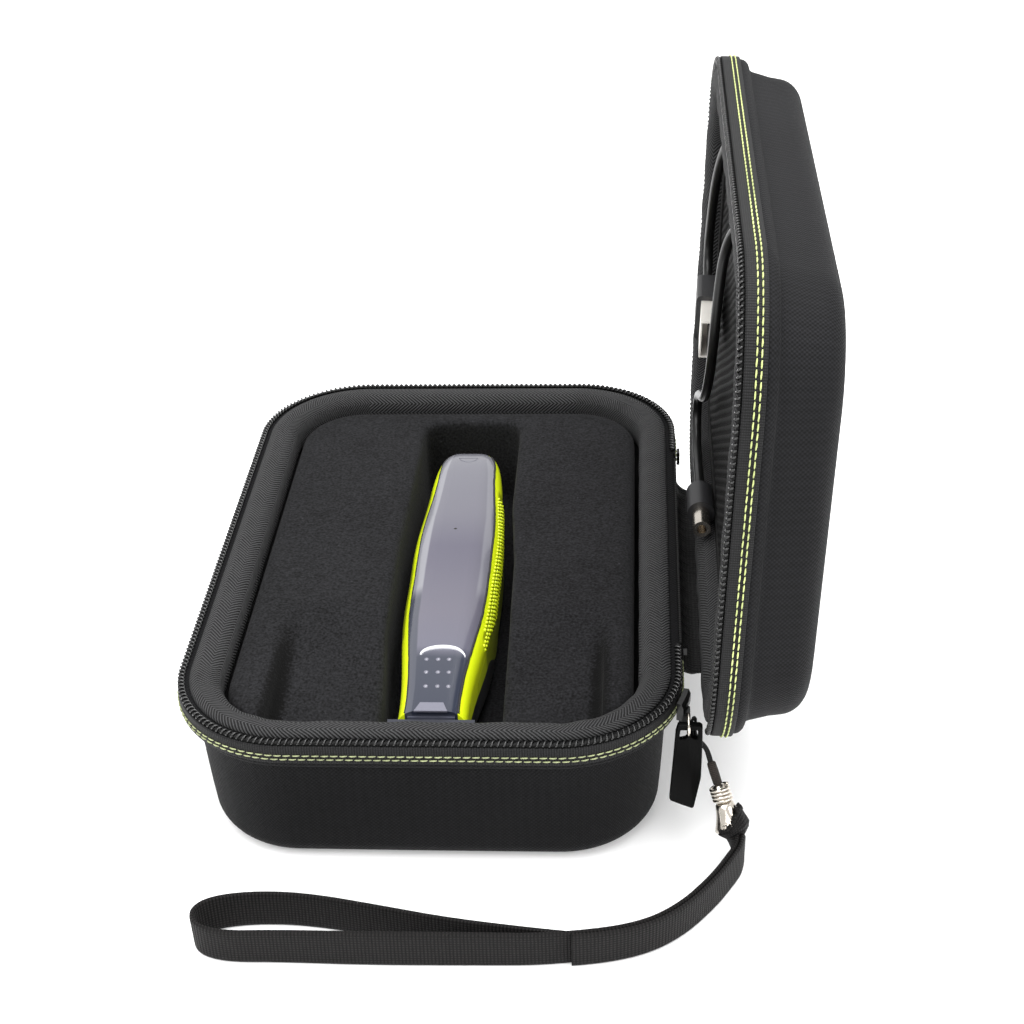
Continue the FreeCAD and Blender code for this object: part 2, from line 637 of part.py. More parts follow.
def tray():
    """Moulded tray: top skin, sloping front, well for the shaver, hollow underneath."""
    body = new_body("tray_block")
    low = "Sizes.floor_thickness + Sizes.lining_thickness"
    outline = sketch_on(body, "tray_outline", low)
    rounded_outline(outline, "Sizes.case_width / 2 - Sizes.tray_side_gap", "Sizes.case_length / 2 - Sizes.tray_end_gap",
                    "Sizes.tray_corner")
    block_pad = pad(body, outline, f"Sizes.base_height - Sizes.tray_below - ({low})")
    block_pad = round_edges(body, block_pad, "Sizes.tray_round", at_height(tray_top()))
    block_pad = round_edges(body, block_pad, "Sizes.tray_foot_round", at_height(number(low)))
    doc.recompute()
    top, drop, start = tray_top(), size("tray_ramp_drop"), -size("tray_ramp_start")
    half_width = number("Sizes.case_width / 2 - Sizes.tray_side_gap")
    half_length = number("Sizes.case_length / 2 - Sizes.tray_end_gap")
    front = -half_length - 2
    slope = face_of([V(-size("tray_ramp_left"), start, top), V(-size("tray_ramp_left"), front, top - drop),
                     V(-size("tray_ramp_left"), front, top + 5), V(-size("tray_ramp_left"), start, top + 5)])
    ramp = slope.extrude(V(size("tray_ramp_left") + size("tray_ramp_right"), 0, 0))
    skin = size("tray_skin")
    under_top = top - drop - skin
    under = block(skin - half_width, half_width - skin, skin - half_length, half_length - skin, 0, under_top)
    corners = [e for e in under.Edges if e.BoundBox.ZLength > 1]
    under = under.makeFillet(size("tray_corner") - skin, corners)
    under = under.cut(cavity_prism(skin, 0))
    shape = body.Shape.cut(ramp).cut(cavity_prism(0, size("tray_floor"))).cut(under)
    solid("tray_insert", shape.removeSplitter())


# ---------------------------------------------------------------- shaver

def at_neck(x, y, z):
    """Point given from the middle of the handle's neck end."""
    return V(size("shaver_axis_x") + x, neck_y() + y, z)


def shaver():
    """Handle shell, panels, head and what is inside, lying face down in the tray."""
    wall, seam = size("shaver_wall"), size("panel_gap")
    middle = size("shaver_axis_x")
    low, high = size("shaver_bottom"), shaver_top()
    depth = high - low
    outer, inner = handle_solid(0), handle_solid(wall)
    skin = outer.cut(inner)
    thick_panel = outer.cut(handle_solid(size("panel_thickness")))
    button_y = neck_y() + size("button_place")
    hole = rod(V(middle, button_y, low - 5), V(middle, button_y, low + 6),
               size("button_radius") + size("button_clearance"))
    front_z = low + wall / 2
    front_half, front_from, front_to = size("front_half"), neck_y() + size("front_from"), butt_y() - size("front_to")
    front_cut = block(middle - front_half - seam, middle + front_half + seam, front_from - seam, front_to + seam,
                      low - 1, front_z)
    side_cut = [block(middle + sign * size("shaver_belly") - 4, middle + sign * size("shaver_belly") + 4,
                      neck_y() + size("grip_from"), butt_y() - size("grip_to"), low + 0.22 * depth, low + 0.66 * depth) for sign in (-1, 1)]
    butt = butt_y()
    socket_low = low + 0.42 * depth
    socket_hole = block(middle - size("socket_width") / 2, middle + size("socket_width") / 2,
                        butt - 12, butt + 2, socket_low, socket_low + size("socket_height"))
    body_shape = skin.cut(panel_prism(0)).cut(hole).cut(front_cut).cut(socket_hole)
    grips = []
    grip_depth = handle_solid(0.9)
    for cutter in side_cut:
        grips.append(outer.cut(grip_depth).common(cutter))
        body_shape = body_shape.cut(cutter.cut(grip_depth))
    board_z = low + size("board_height")
    board_half, board_from, board_to = size("board_half"), neck_y() + size("board_from"), butt_y() - size("board_to")
    for sign in (-1, 1):
        for y in (board_from + size("post_inset"), board_to - size("post_inset")):
            foot = V(middle + sign * (board_half - 2), y, low + wall - 0.3)
            body_shape = body_shape.fuse(rod(foot, V(foot.x, y, board_z), size("post_radius")))
    solid("shaver_body", body_shape)
    solid("shaver_back_panel", thick_panel.common(panel_prism(seam)))
    solid("shaver_side_grips", Part.makeCompound(grips))
    front_panel = block(middle - front_half, middle + front_half, front_from, front_to, low + 0.05, front_z).cut(hole)
    solid("shaver_front_panel", front_panel)
    button = rod(V(middle, button_y, low + 0.4), V(middle, button_y, low + 3.0), size("button_radius"))
    flange = rod(V(middle, button_y, low + wall + 0.3), V(middle, button_y, low + wall + 1.5),
                 size("button_radius") + 1.0)
    solid("power_button", button.fuse(flange).removeSplitter())
    board = block(middle - board_half, middle + board_half, board_from, board_to, board_z, board_z + 1.2)
    switch = block(middle - 2.5, middle + 2.5, button_y - 2.5, button_y + 2.5,
                   low + wall + 1.5 + size("switch_gap"), board_z)
    solid("circuit_board", board)
    solid("button_switch", switch)
    cell_z = board_z + 1.5 + size("battery_radius")
    motor_y = neck_y() + size("motor_from")
    cell_end = V(middle, butt_y() - size("battery_from"), cell_z)
    cell_start = V(middle, motor_y + size("battery_gap"), cell_z)
    solid("battery_cell", rod(cell_start, cell_end, size("battery_radius")))
    motor_z = board_z + 1.5 + size("motor_radius")
    motor_back = V(middle, motor_y, motor_z)
    motor_front = motor_back - V(0, size("motor_length"), 0)
    solid("drive_motor", rod(motor_front, motor_back, size("motor_radius")))
    shaft_end = V(middle, neck_y() + 5.0, motor_z - 1.5)
    shaft_start = V(middle, motor_front.y, motor_z - 1.5)
    solid("drive_rod", rod(shaft_end, shaft_start, 1.5))
    clip = block(middle - 5, middle + 5, motor_front.y - 3.0, motor_front.y - 0.5, board_z + 1.2, board_z + 4.0)
    solid("motor_mount", clip)
    shell_ring = block(middle - 3.9, middle + 3.9, butt - 11, butt - 1.8, socket_low + 0.1,
                       socket_low + size("socket_height") - 0.1)
    pin_hole = block(middle - 2.9, middle + 2.9, butt - 9.5, butt, socket_low + 1.2,
                     socket_low + size("socket_height") - 1.2)
    solid("charge_socket", shell_ring.cut(pin_hole))
    neck = neck_y()
    head_low = low + 0.36 * depth
    plate = block(middle - 6.5, middle + 6.5, neck - 0.6, neck, head_low + 1, high - 0.12 * depth)
    solid("neck_plate", plate)
    latch_z = high - 0.055 * depth
    latch_face = face_of([at_neck(-4.6, -0.8, latch_z), at_neck(4.6, -0.8, latch_z),
                          at_neck(3.2, 3.0, latch_z), at_neck(-3.2, 3.0, latch_z)])
    solid("blade_latch", latch_face.extrude(V(0, 0, 0.5)))
    head()


def head():
    """Blade guard with its comb, and the cutter that slides across in it."""
    middle, neck = size("shaver_axis_x"), neck_y()
    low, high = size("shaver_bottom"), shaver_top()
    depth = high - low
    half = size("head_half_width")
    front = neck - size("head_length")
    profile = face_of([V(middle - half, neck - 0.7, low + 0.30 * depth), V(middle - half, neck - 0.7, high - 0.14 * depth),
                       V(middle - half, front + 2.2, high - 0.26 * depth), V(middle - half, front, low + 0.16 * depth),
                       V(middle - half, front + 1.6, low + 0.08 * depth)])
    guard = profile.extrude(V(2 * half, 0, 0))
    play = size("cutter_play") + 0.3
    slot_low, slot_high = low + 0.22 * depth, low + 0.33 * depth
    slot = block(middle - half + 1.6, middle + half - 1.6, front + 2.0, neck, slot_low, slot_high)
    guard = guard.cut(slot)
    teeth = []
    pitch = 2.0
    count = int((2 * half - 3) / pitch)
    for n in range(count):
        x = middle - (count - 1) * pitch / 2 + n * pitch
        teeth.append(block(x - 0.45, x + 0.45, front - 1, front + 1.4, low, low + 0.45 * depth))
    solid("blade_guard", guard.cut(teeth))
    cutter = block(middle - half + 1.6 + play, middle + half - 1.6 - play, front + 2.3, neck - 1.0,
                   slot_low + 0.25, slot_high - 0.25)
    solid("blade_cutter", cutter)


# ---------------------------------------------------------------- zipper slider, pull tab, strap

def corner_centre():
    """Middle of the front corner on the hinge side."""
    return V(number("Sizes.case_width / 2 - Sizes.case_corner"),
             number("Sizes.case_corner - Sizes.case_length / 2"), 0)


def tab_pivot():
    """Middle of the pull tab's pivot in the slider's bail."""
    return corner_centre() + V(size("tab_pivot_out"), -size("tab_pivot_ahead"),
                               size("base_height") - size("tab_pivot_below"))


def slider():
    """Slider on the base's zipper tape, turned about the corner it travels round, with its bail."""
    centre, rim = corner_centre(), size("base_height")
    inner = size("case_corner") + size("stitch_height") + size("slider_clearance")
    outer = inner + size("slider_plate")
    low, high = rim - size("slider_drop"), rim - size("slider_below")
    ridge = (high - low) / 4
    profile = [V(inner, 0, low), V(outer - 0.6, 0, low), V(outer, 0, low + ridge), V(outer, 0, high - ridge),
               V(outer - 0.6, 0, high), V(inner, 0, high)]
    shape = face_of(profile).revolve(V(0, 0, 0), V(0, 0, 1), size("slider_sweep"))
    shape.rotate(V(0, 0, 0), V(0, 0, 1), -size("slider_angle") - size("slider_sweep") / 2)
    shape.translate(centre)
    pivot = tab_pivot()
    wire = size("bail_wire")
    ring_middle = pivot + V(0, 0.8, 0)
    bail = Part.makeTorus(size("bail_radius"), wire / 2, ring_middle, V(1, 0, 0))
    lug = block(pivot.x - 2.6, pivot.x + wire / 2, pivot.y + 3.2, pivot.y + 6.0, pivot.z - 1.3, pivot.z + 2.2)
    solid("slider_body", shape.fuse(lug).removeSplitter())
    solid("slider_bail", bail.cut(lug).cut(shape))


def pull_tab():
    """Flat tab with a window that hangs in the slider's bail."""
    x, y, z = tab_pivot()
    half, thick, bar = size("tab_width") / 2, size("tab_thickness") / 2, size("tab_bar") / 2
    top = z + bar
    tab = block(x - half, x + half, y - thick, y + thick, top - size("tab_length"), top)
    upright = [e for e in tab.Edges if e.BoundBox.YLength > 1 and e.BoundBox.ZLength < 0.01]
    tab = tab.makeFillet(1.2, upright)
    window_half = size("tab_window_width") / 2
    window = block(x - window_half, x + window_half, y - 2 * thick, y + 2 * thick,
                   z - bar - size("tab_window_height"), z - bar)
    solid("pull_tab", tab.cut(window))


def strap_direction():
    """Way that sleeve, wire coil and clasp run on from the cord."""
    return V(0.305, -0.405, -0.862).normalize()


# Routes counted from the pull tab's pivot; the webbing's own heights are the table's
CORD_ROUTE = [(1.3, 2.2, 1.3), (1.3, 2.2, -5.1), (4.9, 2.2, -8.7), (6.2, 0.4, -12.5)]
STEM_ROUTE = [(14.1, -10.4), (13.7, -14.0), (11.7, -18.0), (6.6, -27.0), (-2.5, -38.6), (-13.7, -46.1), (-31.6, -49.5)]
LOOP_ROUTE = [(-32.0, -50.3), (-56.9, -50.1), (-84.3, -50.5), (-107.6, -50.2), (-120.8, -50.7), (-128.6, -47.9),
              (-130.4, -42.4), (-125.9, -38.2), (-114.8, -36.1), (-100.5, -36.5), (-81.3, -40.4), (-57.9, -45.5),
              (-32.0, -48.7)]


def from_pivot(route):
    """Route's points in the model's frame; a point of two numbers lies at height 0."""
    pivot = tab_pivot()
    return [pivot + V(*p) if len(p) == 3 else V(pivot.x + p[0], pivot.y + p[1], 0) for p in route]


def strap():
    """Wrist strap: thin cord, sleeve, wire coil, bell clasp, doubled stem and hand loop."""
    d = strap_direction()
    route = from_pivot(CORD_ROUTE)
    start = route[-1]
    cord = tube(route, size("cord_diameter") / 2, "lanyard_cord")
    turn_z, half = tab_pivot().z - size("cord_joint"), 2 * size("cord_diameter")
    top = block(route[0].x - half, route[0].x + half, route[0].y - half, route[0].y + half, turn_z, turn_z + 4 * half)
    solid("lanyard_loop", cord.common(top))
    solid("lanyard_cord", cord.cut(top))
    sleeve_end = start + d * size("sleeve_length")
    solid("lanyard_sleeve", rod(start, sleeve_end, size("sleeve_diameter") / 2))
    pitch, wire = size("wire_coil_pitch"), size("wire_coil_wire")
    core_length = 3 * pitch + wire
    core_end = sleeve_end + d * core_length
    turns = rod(sleeve_end, core_end, size("wire_coil_radius") - wire / 4)
    for n in range(4):
        middle = sleeve_end + d * (wire / 2 + n * pitch)
        turns = turns.fuse(Part.makeTorus(size("wire_coil_radius"), wire / 2, middle, d))
    solid("lanyard_wire_coil", turns)
    small, mouth, long = size("clasp_small"), size("clasp_mouth"), size("clasp_length")
    wall = size("clasp_wall")
    bell = Part.makeCone(small, mouth, long, core_end, d)
    hollow = Part.makeCone(small - wall, mouth - wall, long - wall, core_end + d * wall, d)
    solid("lanyard_clasp", bell.cut(hollow))
    wrap(core_end + d * (long * 0.45), d)
    lift, tall, layer = size("strap_lift"), size("strap_height"), size("strap_thickness")
    solid("strap_stem", band(from_pivot(STEM_ROUTE), 2 * layer + 0.1, lift, tall, "strap_stem"))
    solid("strap_loop", band(from_pivot(LOOP_ROUTE), layer, lift, tall, "strap_loop"))


def wrap(inner_end, d):
    """Folded end of the webbing, from inside the bell to the table, where it stands on its edge."""
    layer, tall, lift = size("strap_thickness"), size("strap_height"), size("strap_lift")
    route = from_pivot(STEM_ROUTE)
    end = route[0] + V(0, 0, lift + tall / 2)
    level = V(0, 0, 1).cross((route[1] - route[0]).normalize())
    side = V(1, 0, 0)
    across = side - d * side.dot(d)
    across.normalize()
    up = across.cross(d)
    small = [inner_end + across * (1.3 * sx) + up * (2.1 * sz) for sx, sz in ((-1, -1), (1, -1), (1, 1), (-1, 1))]
    large = [end + level * (sx * (layer + 0.05)) - V(0, 0, sz * tall / 2)
             for sx, sz in ((-1, -1), (1, -1), (1, 1), (-1, 1))]
    if (small[0] - small[3]).dot(large[0] - large[3]) < 0:
        large = [large[3], large[2], large[1], large[0]]
    wires = [Part.makePolygon(row + [row[0]]) for row in (small, large)]
    solid("strap_end_wrap", Part.makeLoft(wires, True, True))


# ---------------------------------------------------------------- lid pocket and charging lead

def pocket_net():
    """Net stretched over the lid from the hinge side to the elastic hem."""
    edge = size("binding_end") + size("net_slack")
    half_x, half_y = size("case_width") / 2 - edge, size("case_length") / 2 - edge
    top, thick, net_top = size("lid_height") - size("net_depth"), size("net_thickness"), size("net_top")
    cover = block(-half_x, half_x, -half_y, half_y, top - thick, top)
    upright = [e for e in cover.Edges if e.BoundBox.ZLength > thick - 0.01]
    cover = cover.makeFillet(size("case_corner") - edge, upright)
    net = cover.cut(block(net_top, 2 * half_x, -2 * half_y, 2 * half_y, 0, 2 * top))
    solid("mesh_pocket", net, PLACE["lid"])
    hem_low = top - thick / 2 - size("hem_thickness") / 2
    hem = block(net_top, net_top + size("hem_width"), -half_y, half_y, hem_low, hem_low + size("hem_thickness"))
    solid("pocket_hem", hem.makeFillet(0.6, [e for e in hem.Edges if e.BoundBox.YLength > 10]), PLACE["lid"])


# Routes and plug places in the lid's own frame, opening upwards, hinge side at -X
USB_BACK = V(-4.0, 60.4, 24.9)
USB_WAY = V(0, -1.0, 0.035)
JACK_BACK = V(-53.0, 21.5, 25.4)
JACK_WAY = V(0, -1.0, 0)


def hank_middle():
    """Middle of the hank, which lies on the lid's lining at the hinge side."""
    wall = number("Sizes.case_width / 2 - Sizes.rim_width - Sizes.lining_slack - Sizes.lining_thickness")
    reach = size("hank_turn") + size("hank_bundle") + size("hank_clearance")
    floor = size("floor_thickness") + size("lining_thickness")
    return V(reach - wall, 0, floor + size("hank_clearance") + size("tie_wall") + size("hank_bundle"))


def stadium(middle, half, turn, radius):
    """Bundle of cord bent into a long loop in the plane of the lid."""
    shape = None
    for sign in (-1, 1):
        run = rod(middle + V(sign * turn, -half, 0), middle + V(sign * turn, half, 0), radius)
        bend = Part.makeTorus(turn, radius, middle + V(0, sign * half, 0), V(0, 0, 1))
        keep_side = block(middle.x - 2 * turn, middle.x + 2 * turn, 0, 2 * turn, 0, 4 * turn)
        keep_side.translate(V(0, middle.y + half, middle.z - 2 * turn))
        if sign < 0:
            keep_side = keep_side.mirror(V(0, middle.y, 0), V(0, 1, 0))
        for piece in (run, bend.common(keep_side)):
            shape = piece if shape is None else shape.fuse(piece)
    return shape.removeSplitter()


def charging_lead():
    """Lead with its two plugs: a tied hank in the pocket and two ends that hang over the hem."""
    middle, bundle, turn = hank_middle(), size("hank_bundle"), size("hank_turn")
    half, radius = size("hank_half_length"), size("lead_diameter") / 2
    solid("lead_hank", stadium(middle, half, turn, bundle), PLACE["lid"])
    upper = middle + V(turn, 0, 0)
    wide = size("tie_width") / 2
    outer = rod(upper - V(0, wide, 0), upper + V(0, wide, 0), bundle + size("tie_wall"))
    inner = rod(upper - V(0, 2 * wide, 0), upper + V(0, 2 * wide, 0), bundle)
    solid("lead_tie", outer.cut(inner), PLACE["lid"])
    door = upper.x + bundle + 0.2
    usb_way, jack_way = V(USB_WAY).normalize(), V(JACK_WAY).normalize()
    usb_route = [V(door, 28, upper.z), V(4.0, 28.6, 10.0), V(22.0, 26.6, 10.2), V(38.5, 26.8, 12.0),
                 V(50.0, 34.0, 15.6), V(53.0, 47.5, 19.6), V(47.0, 60.0, 22.6), V(34.0, 67.6, 24.2),
                 V(19.5, 73.6, 24.6), V(5.2, 79.4, 24.6), USB_BACK - usb_way * 13.4, USB_BACK]
    jack_route = [V(door, -24, upper.z), V(4.0, -26.6, 10.0), V(21.0, -26.2, 10.4), V(37.0, -21.0, 12.6),
                  V(47.0, -11.0, 17.0), V(46.0, 1.5, 21.4), V(35.0, 8.4, 24.2), V(18.5, 7.4, 25.2),
                  V(2.0, 9.0, 25.4), V(-13.0, 17.5, 25.4), V(-25.0, 31.0, 25.5), V(-32.5, 47.0, 25.5),
                  V(-38.5, 60.0, 25.6), V(-47.5, 63.0, 25.6), V(-53.6, 54.5, 25.5), V(-54.0, 42.0, 25.4),
                  V(-53.0, 31.0, 25.4), JACK_BACK]
    solid("lead_usb_end", tube(usb_route, radius, "lead_usb_end"), PLACE["lid"])
    solid("lead_jack_end", tube(jack_route, radius, "lead_jack_end"), PLACE["lid"])
    plug(usb_way)
    jack(jack_way)


def along(shape, start, way):
    """Puts a shape made along +Y, flat in the lid's plane, at a place and a direction."""
    turn = math.degrees(math.atan2(-way.x, way.y))
    rise = math.degrees(math.asin(way.z))
    shape.rotate(V(0, 0, 0), V(1, 0, 0), rise)
    shape.rotate(V(0, 0, 0), V(0, 0, 1), turn)
    shape.translate(start)
    return shape


def plug(way):
    """Moulding, bent metal shell and the tongue in it."""
    half_w, half_t, long = size("mould_width") / 2, size("mould_thickness") / 2, size("mould_length")
    mould = block(-half_w, half_w, 0, long, -half_t, half_t)
    mould = mould.makeFillet(1.6, [e for e in mould.Edges if e.BoundBox.YLength > 1])
    solid("usb_moulding", along(mould, USB_BACK, way), PLACE["lid"])
    w, t, wall, reach = size("usb_width") / 2, size("usb_thickness") / 2, size("usb_wall"), size("usb_length")
    can = block(-w, w, 0, reach, -t, t).cut(block(-w + wall, w - wall, wall, reach + 1, -t + wall, t - wall))
    front = USB_BACK + way * long
    solid("usb_shell", along(can, front, way), PLACE["lid"])
    tongue = block(-w + 1.2, w - 1.2, wall, reach - 1.0, -t + wall, -t + wall + 1.5)
    solid("usb_tongue", along(tongue, front, way), PLACE["lid"])


def jack(way):
    """Small round plug of the lead's other end: grip and barrel with a blind bore."""
    grip_end = JACK_BACK + way * size("jack_grip_length")
    grip = rod(JACK_BACK, grip_end, size("jack_grip_radius"))
    solid("jack_grip", grip, PLACE["lid"])
    tip = grip_end + way * size("jack_length")
    bore = rod(grip_end + way * 2, tip + way, 0.55 * size("jack_radius"))
    solid("jack_barrel", rod(grip_end, tip, size("jack_radius")).cut(bore), PLACE["lid"])


# ---------------------------------------------------------------- hinge gusset and zipper ends

def gusset():
    """Fabric strip that joins the two rim bands along the hinge, folded as the lid stands open."""
    band_x = number("Sizes.case_width / 2 - Sizes.tape_thickness")
    thick, bend, half = size("gusset_thickness"), size("gusset_bend"), size("gusset_half")
    lid_edge = lid_placement().multVec(V(-band_x, 0, size("lid_height")))
    low = lid_edge.z - size("gusset_clearance") - 0.3 - thick
    reach = lid_edge.x + size("gusset_reach")
    top = size("base_height") - 0.5
    x0, x1 = band_x, band_x + thick
    cx, cz = band_x + thick / 2 + bend, low + thick / 2 + bend
    quarter = math.sqrt(0.5)
    outer_r, inner_r = bend + thick / 2, bend - thick / 2
    edges = [Part.LineSegment(V(x0, 0, top), V(x0, 0, cz)),
             Part.Arc(V(x0, 0, cz), V(cx - outer_r * quarter, 0, cz - outer_r * quarter), V(cx, 0, low)),
             Part.LineSegment(V(cx, 0, low), V(reach, 0, low)),
             Part.LineSegment(V(reach, 0, low), V(reach, 0, low + thick)),
             Part.LineSegment(V(reach, 0, low + thick), V(cx, 0, low + thick)),
             Part.Arc(V(cx, 0, low + thick), V(cx - inner_r * quarter, 0, cz - inner_r * quarter), V(x1, 0, cz)),
             Part.LineSegment(V(x1, 0, cz), V(x1, 0, top)),
             Part.LineSegment(V(x1, 0, top), V(x0, 0, top))]
    face = Part.Face(Part.Wire([e.toShape() for e in edges]))
    strip = face.extrude(V(0, 2 * half, 0))
    strip.translate(V(0, -half, 0))
    solid("hinge_gusset", strip)


def zip_stops():
    """Stops where the base's zipper tape ends on each side of the hinge."""
    inner = size("case_width") / 2 + size("stitch_height") + 0.1
    low, high = size("base_height") - size("tape_width") + 0.3, size("base_height") - size("slider_below")
    stops = []
    for y in (size("zip_end") + 0.2, -size("zip_end") - size("stop_width") - 0.2):
        stops.append(block(inner, inner + size("stop_thickness"), y, y + size("stop_width"), low, high))
    solid("zip_stops", Part.makeCompound(stops))


def build():
    for side in ("base", "lid"):
        shell(side)
        lining(side)
        binding(side)
        zip_tape(side)
        zip_coil(side)
        stitches(side)
    tray()
    shaver()
    slider()
    pull_tab()
    strap()
    gusset()
    zip_stops()
    pocket_net()
    charging_lead()


build()
doc.recompute()
for piece in doc.Objects:
    if "Invalid" in piece.State or "Error" in piece.State:
        raise ValueError(f"{piece.Label} failed: {piece.State}")
for piece in PARTS:
    if piece.Shape.isNull() or not piece.Shape.isValid():
        raise ValueError(f"{piece.Label} has no valid shape")
os.makedirs("parts", exist_ok=True)
for piece in PARTS:
    piece.Shape.exportStep(f"parts/{piece.Label}.step")
print(len(PARTS), "parts")
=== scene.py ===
import random
from math import cos, dist, exp, hypot, pi, radians, sin, sqrt

import bmesh
import bpy
from mathutils import Matrix, Vector
from mathutils.bvhtree import BVHTree


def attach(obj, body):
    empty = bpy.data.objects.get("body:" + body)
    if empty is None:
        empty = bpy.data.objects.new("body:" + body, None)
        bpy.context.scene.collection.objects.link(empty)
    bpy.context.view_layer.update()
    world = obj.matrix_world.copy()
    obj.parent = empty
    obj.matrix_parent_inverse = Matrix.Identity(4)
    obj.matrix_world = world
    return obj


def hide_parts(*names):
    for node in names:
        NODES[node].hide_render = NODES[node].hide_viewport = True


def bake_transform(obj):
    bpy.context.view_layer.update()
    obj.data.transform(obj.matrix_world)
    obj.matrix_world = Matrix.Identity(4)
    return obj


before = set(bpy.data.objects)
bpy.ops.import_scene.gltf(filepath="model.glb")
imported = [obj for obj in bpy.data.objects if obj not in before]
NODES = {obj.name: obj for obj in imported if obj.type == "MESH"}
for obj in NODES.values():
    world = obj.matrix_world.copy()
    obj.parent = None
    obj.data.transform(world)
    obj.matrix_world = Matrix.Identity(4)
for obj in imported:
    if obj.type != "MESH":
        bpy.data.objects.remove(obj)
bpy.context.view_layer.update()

random.seed(11)
MM = 0.001

# Sizes of the case in millimetres, as in the part's source
WIDTH, LENGTH, CORNER = 140.0, 203.0, 34.0
RIM = {"base": 45.0, "lid": 25.0}
HINGE_X, HINGE_Z, OPEN = 65.4, 37.6, radians(92.5)
ZIP = 4.0
ZIP_END = 55.0
LID = (Matrix.Translation((HINGE_X, 0, HINGE_Z)) @ Matrix.Rotation(OPEN, 4, "Y")
       @ Matrix.Translation((-HINGE_X, 0, -HINGE_Z))
       @ Matrix.Translation((0, 0, RIM["base"] + RIM["lid"] + ZIP))
       @ Matrix.Rotation(pi, 4, "Y"))
PLACE = {"base": Matrix.Identity(4), "lid": LID}
HINGE_SIDE = {"base": 1, "lid": -1}
SHAVER_X = 1.3


# --- materials

class Finish:
    """One procedural material, built socket by socket."""

    def __init__(self, name, colour, rough, metal=0.0, **sockets):
        self.mat = bpy.data.materials.new(name)
        self.mat.use_nodes = True
        self.tree = self.mat.node_tree
        self.bsdf = self.tree.nodes["Principled BSDF"]
        colour = rgb(colour)
        self.bsdf.inputs["Base Color"].default_value = (*colour, 1)
        self.bsdf.inputs["Roughness"].default_value = rough
        self.bsdf.inputs["Metallic"].default_value = metal
        for key, value in sockets.items():
            self.bsdf.inputs[key.replace("_", " ")].default_value = value
        self.mat.diffuse_color = (*colour, 1)

    def put(self, kind, inputs=None, **settings):
        made = self.tree.nodes.new("ShaderNode" + kind)
        for key, value in settings.items():
            setattr(made, key, value)
        for key, value in (inputs or {}).items():
            self.feed(made.inputs[key], value)
        return made

    def feed(self, socket, value):
        if isinstance(value, bpy.types.NodeSocket):
            self.tree.links.new(value, socket)
        else:
            socket.default_value = value

    def calc(self, operation, *values):
        return self.put("Math", dict(enumerate(values)), operation=operation).outputs[0]

    def mul(self, a, b):
        return self.calc("MULTIPLY", a, b)

    def add(self, a, b):
        return self.calc("ADD", a, b)

    def sub(self, a, b):
        return self.calc("SUBTRACT", a, b)

    def madd(self, a, b, c):
        """a times b plus c."""
        return self.calc("MULTIPLY_ADD", a, b, c)

    def total(self, *terms):
        """Sum of (value, weight) pairs."""
        out = None
        for value, weight in terms:
            term = self.mul(value, weight)
            out = self.add(out, term) if out else term
        return out

    def mix(self, factor, first, second):
        """Turns the first colour into the second; each is a triple or a socket."""
        made = self.put("Mix", {"Factor": factor}, data_type="RGBA")
        for k, value in ((6, first), (7, second)):
            self.feed(made.inputs[k], (*value, 1) if isinstance(value, tuple) else value)
        return made.outputs[2]

    def sheet_uv(self):
        """Surface coordinates in millimetres along and across the cloth."""
        uv = self.put("UVMap", uv_map="cloth").outputs[0]
        parts = self.put("SeparateXYZ", {0: uv})
        return parts.outputs[0], parts.outputs[1]

    def spot(self):
        return self.put("TexCoord").outputs["Object"]

    def place(self):
        parts = self.put("SeparateXYZ", {0: self.spot()})
        return parts.outputs[0], parts.outputs[1], parts.outputs[2]

    def span(self, value, start, end):
        """Smooth step from 0 at start to 1 at end."""
        return self.put("MapRange", {"Value": value, "From Min": start, "From Max": end},
                        interpolation_type="SMOOTHSTEP").outputs[0]

    def noise(self, scale, detail=3.0):
        inputs = {"Vector": self.spot(), "Scale": scale, "Detail": detail}
        return self.put("TexNoise", inputs).outputs["Fac"]

    def wave(self, value, pitch):
        """Sine between 0 and 1 with the given pitch."""
        return self.madd(self.calc("SINE", self.madd(value, 2 * pi / pitch, 0.0)), 0.5, 0.5)

    def ramp(self, fac, stops):
        made = self.put("ValToRGB", {"Fac": fac})
        band = made.color_ramp
        while len(band.elements) < len(stops):
            band.elements.new(0.5)
        for element, (place, colour) in zip(band.elements, stops):
            element.position, element.color = place, (*rgb(colour), 1)
        return made.outputs[0]

    def colour(self, value):
        self.feed(self.bsdf.inputs["Base Color"], value)

    def paint(self, fac, dark, light, spread):
        self.colour(self.ramp(fac, [(spread[0], dark), (spread[1], light)]))

    def rough(self, fac, low, high):
        made = self.put("MapRange", {"Value": fac, "To Min": low, "To Max": high})
        self.feed(self.bsdf.inputs["Roughness"], made.outputs[0])

    def bump(self, height, depth, strength):
        """The last touch: returns the finished material."""
        made = self.put("Bump", {"Height": height, "Distance": depth, "Strength": strength})
        self.feed(self.bsdf.inputs["Normal"], made.outputs[0])
        return self.mat


def new_object(name, data):
    obj = bpy.data.objects.new(name, data)
    bpy.context.collection.objects.link(obj)
    return obj


def smooth(obj):
    for face in obj.data.polygons:
        face.use_smooth = True


def grey(v, tint=1.0):
    return (v, v, v * tint)


def rgb(colour):
    """A bare number is a neutral grey."""
    return colour if isinstance(colour, tuple) else grey(colour)


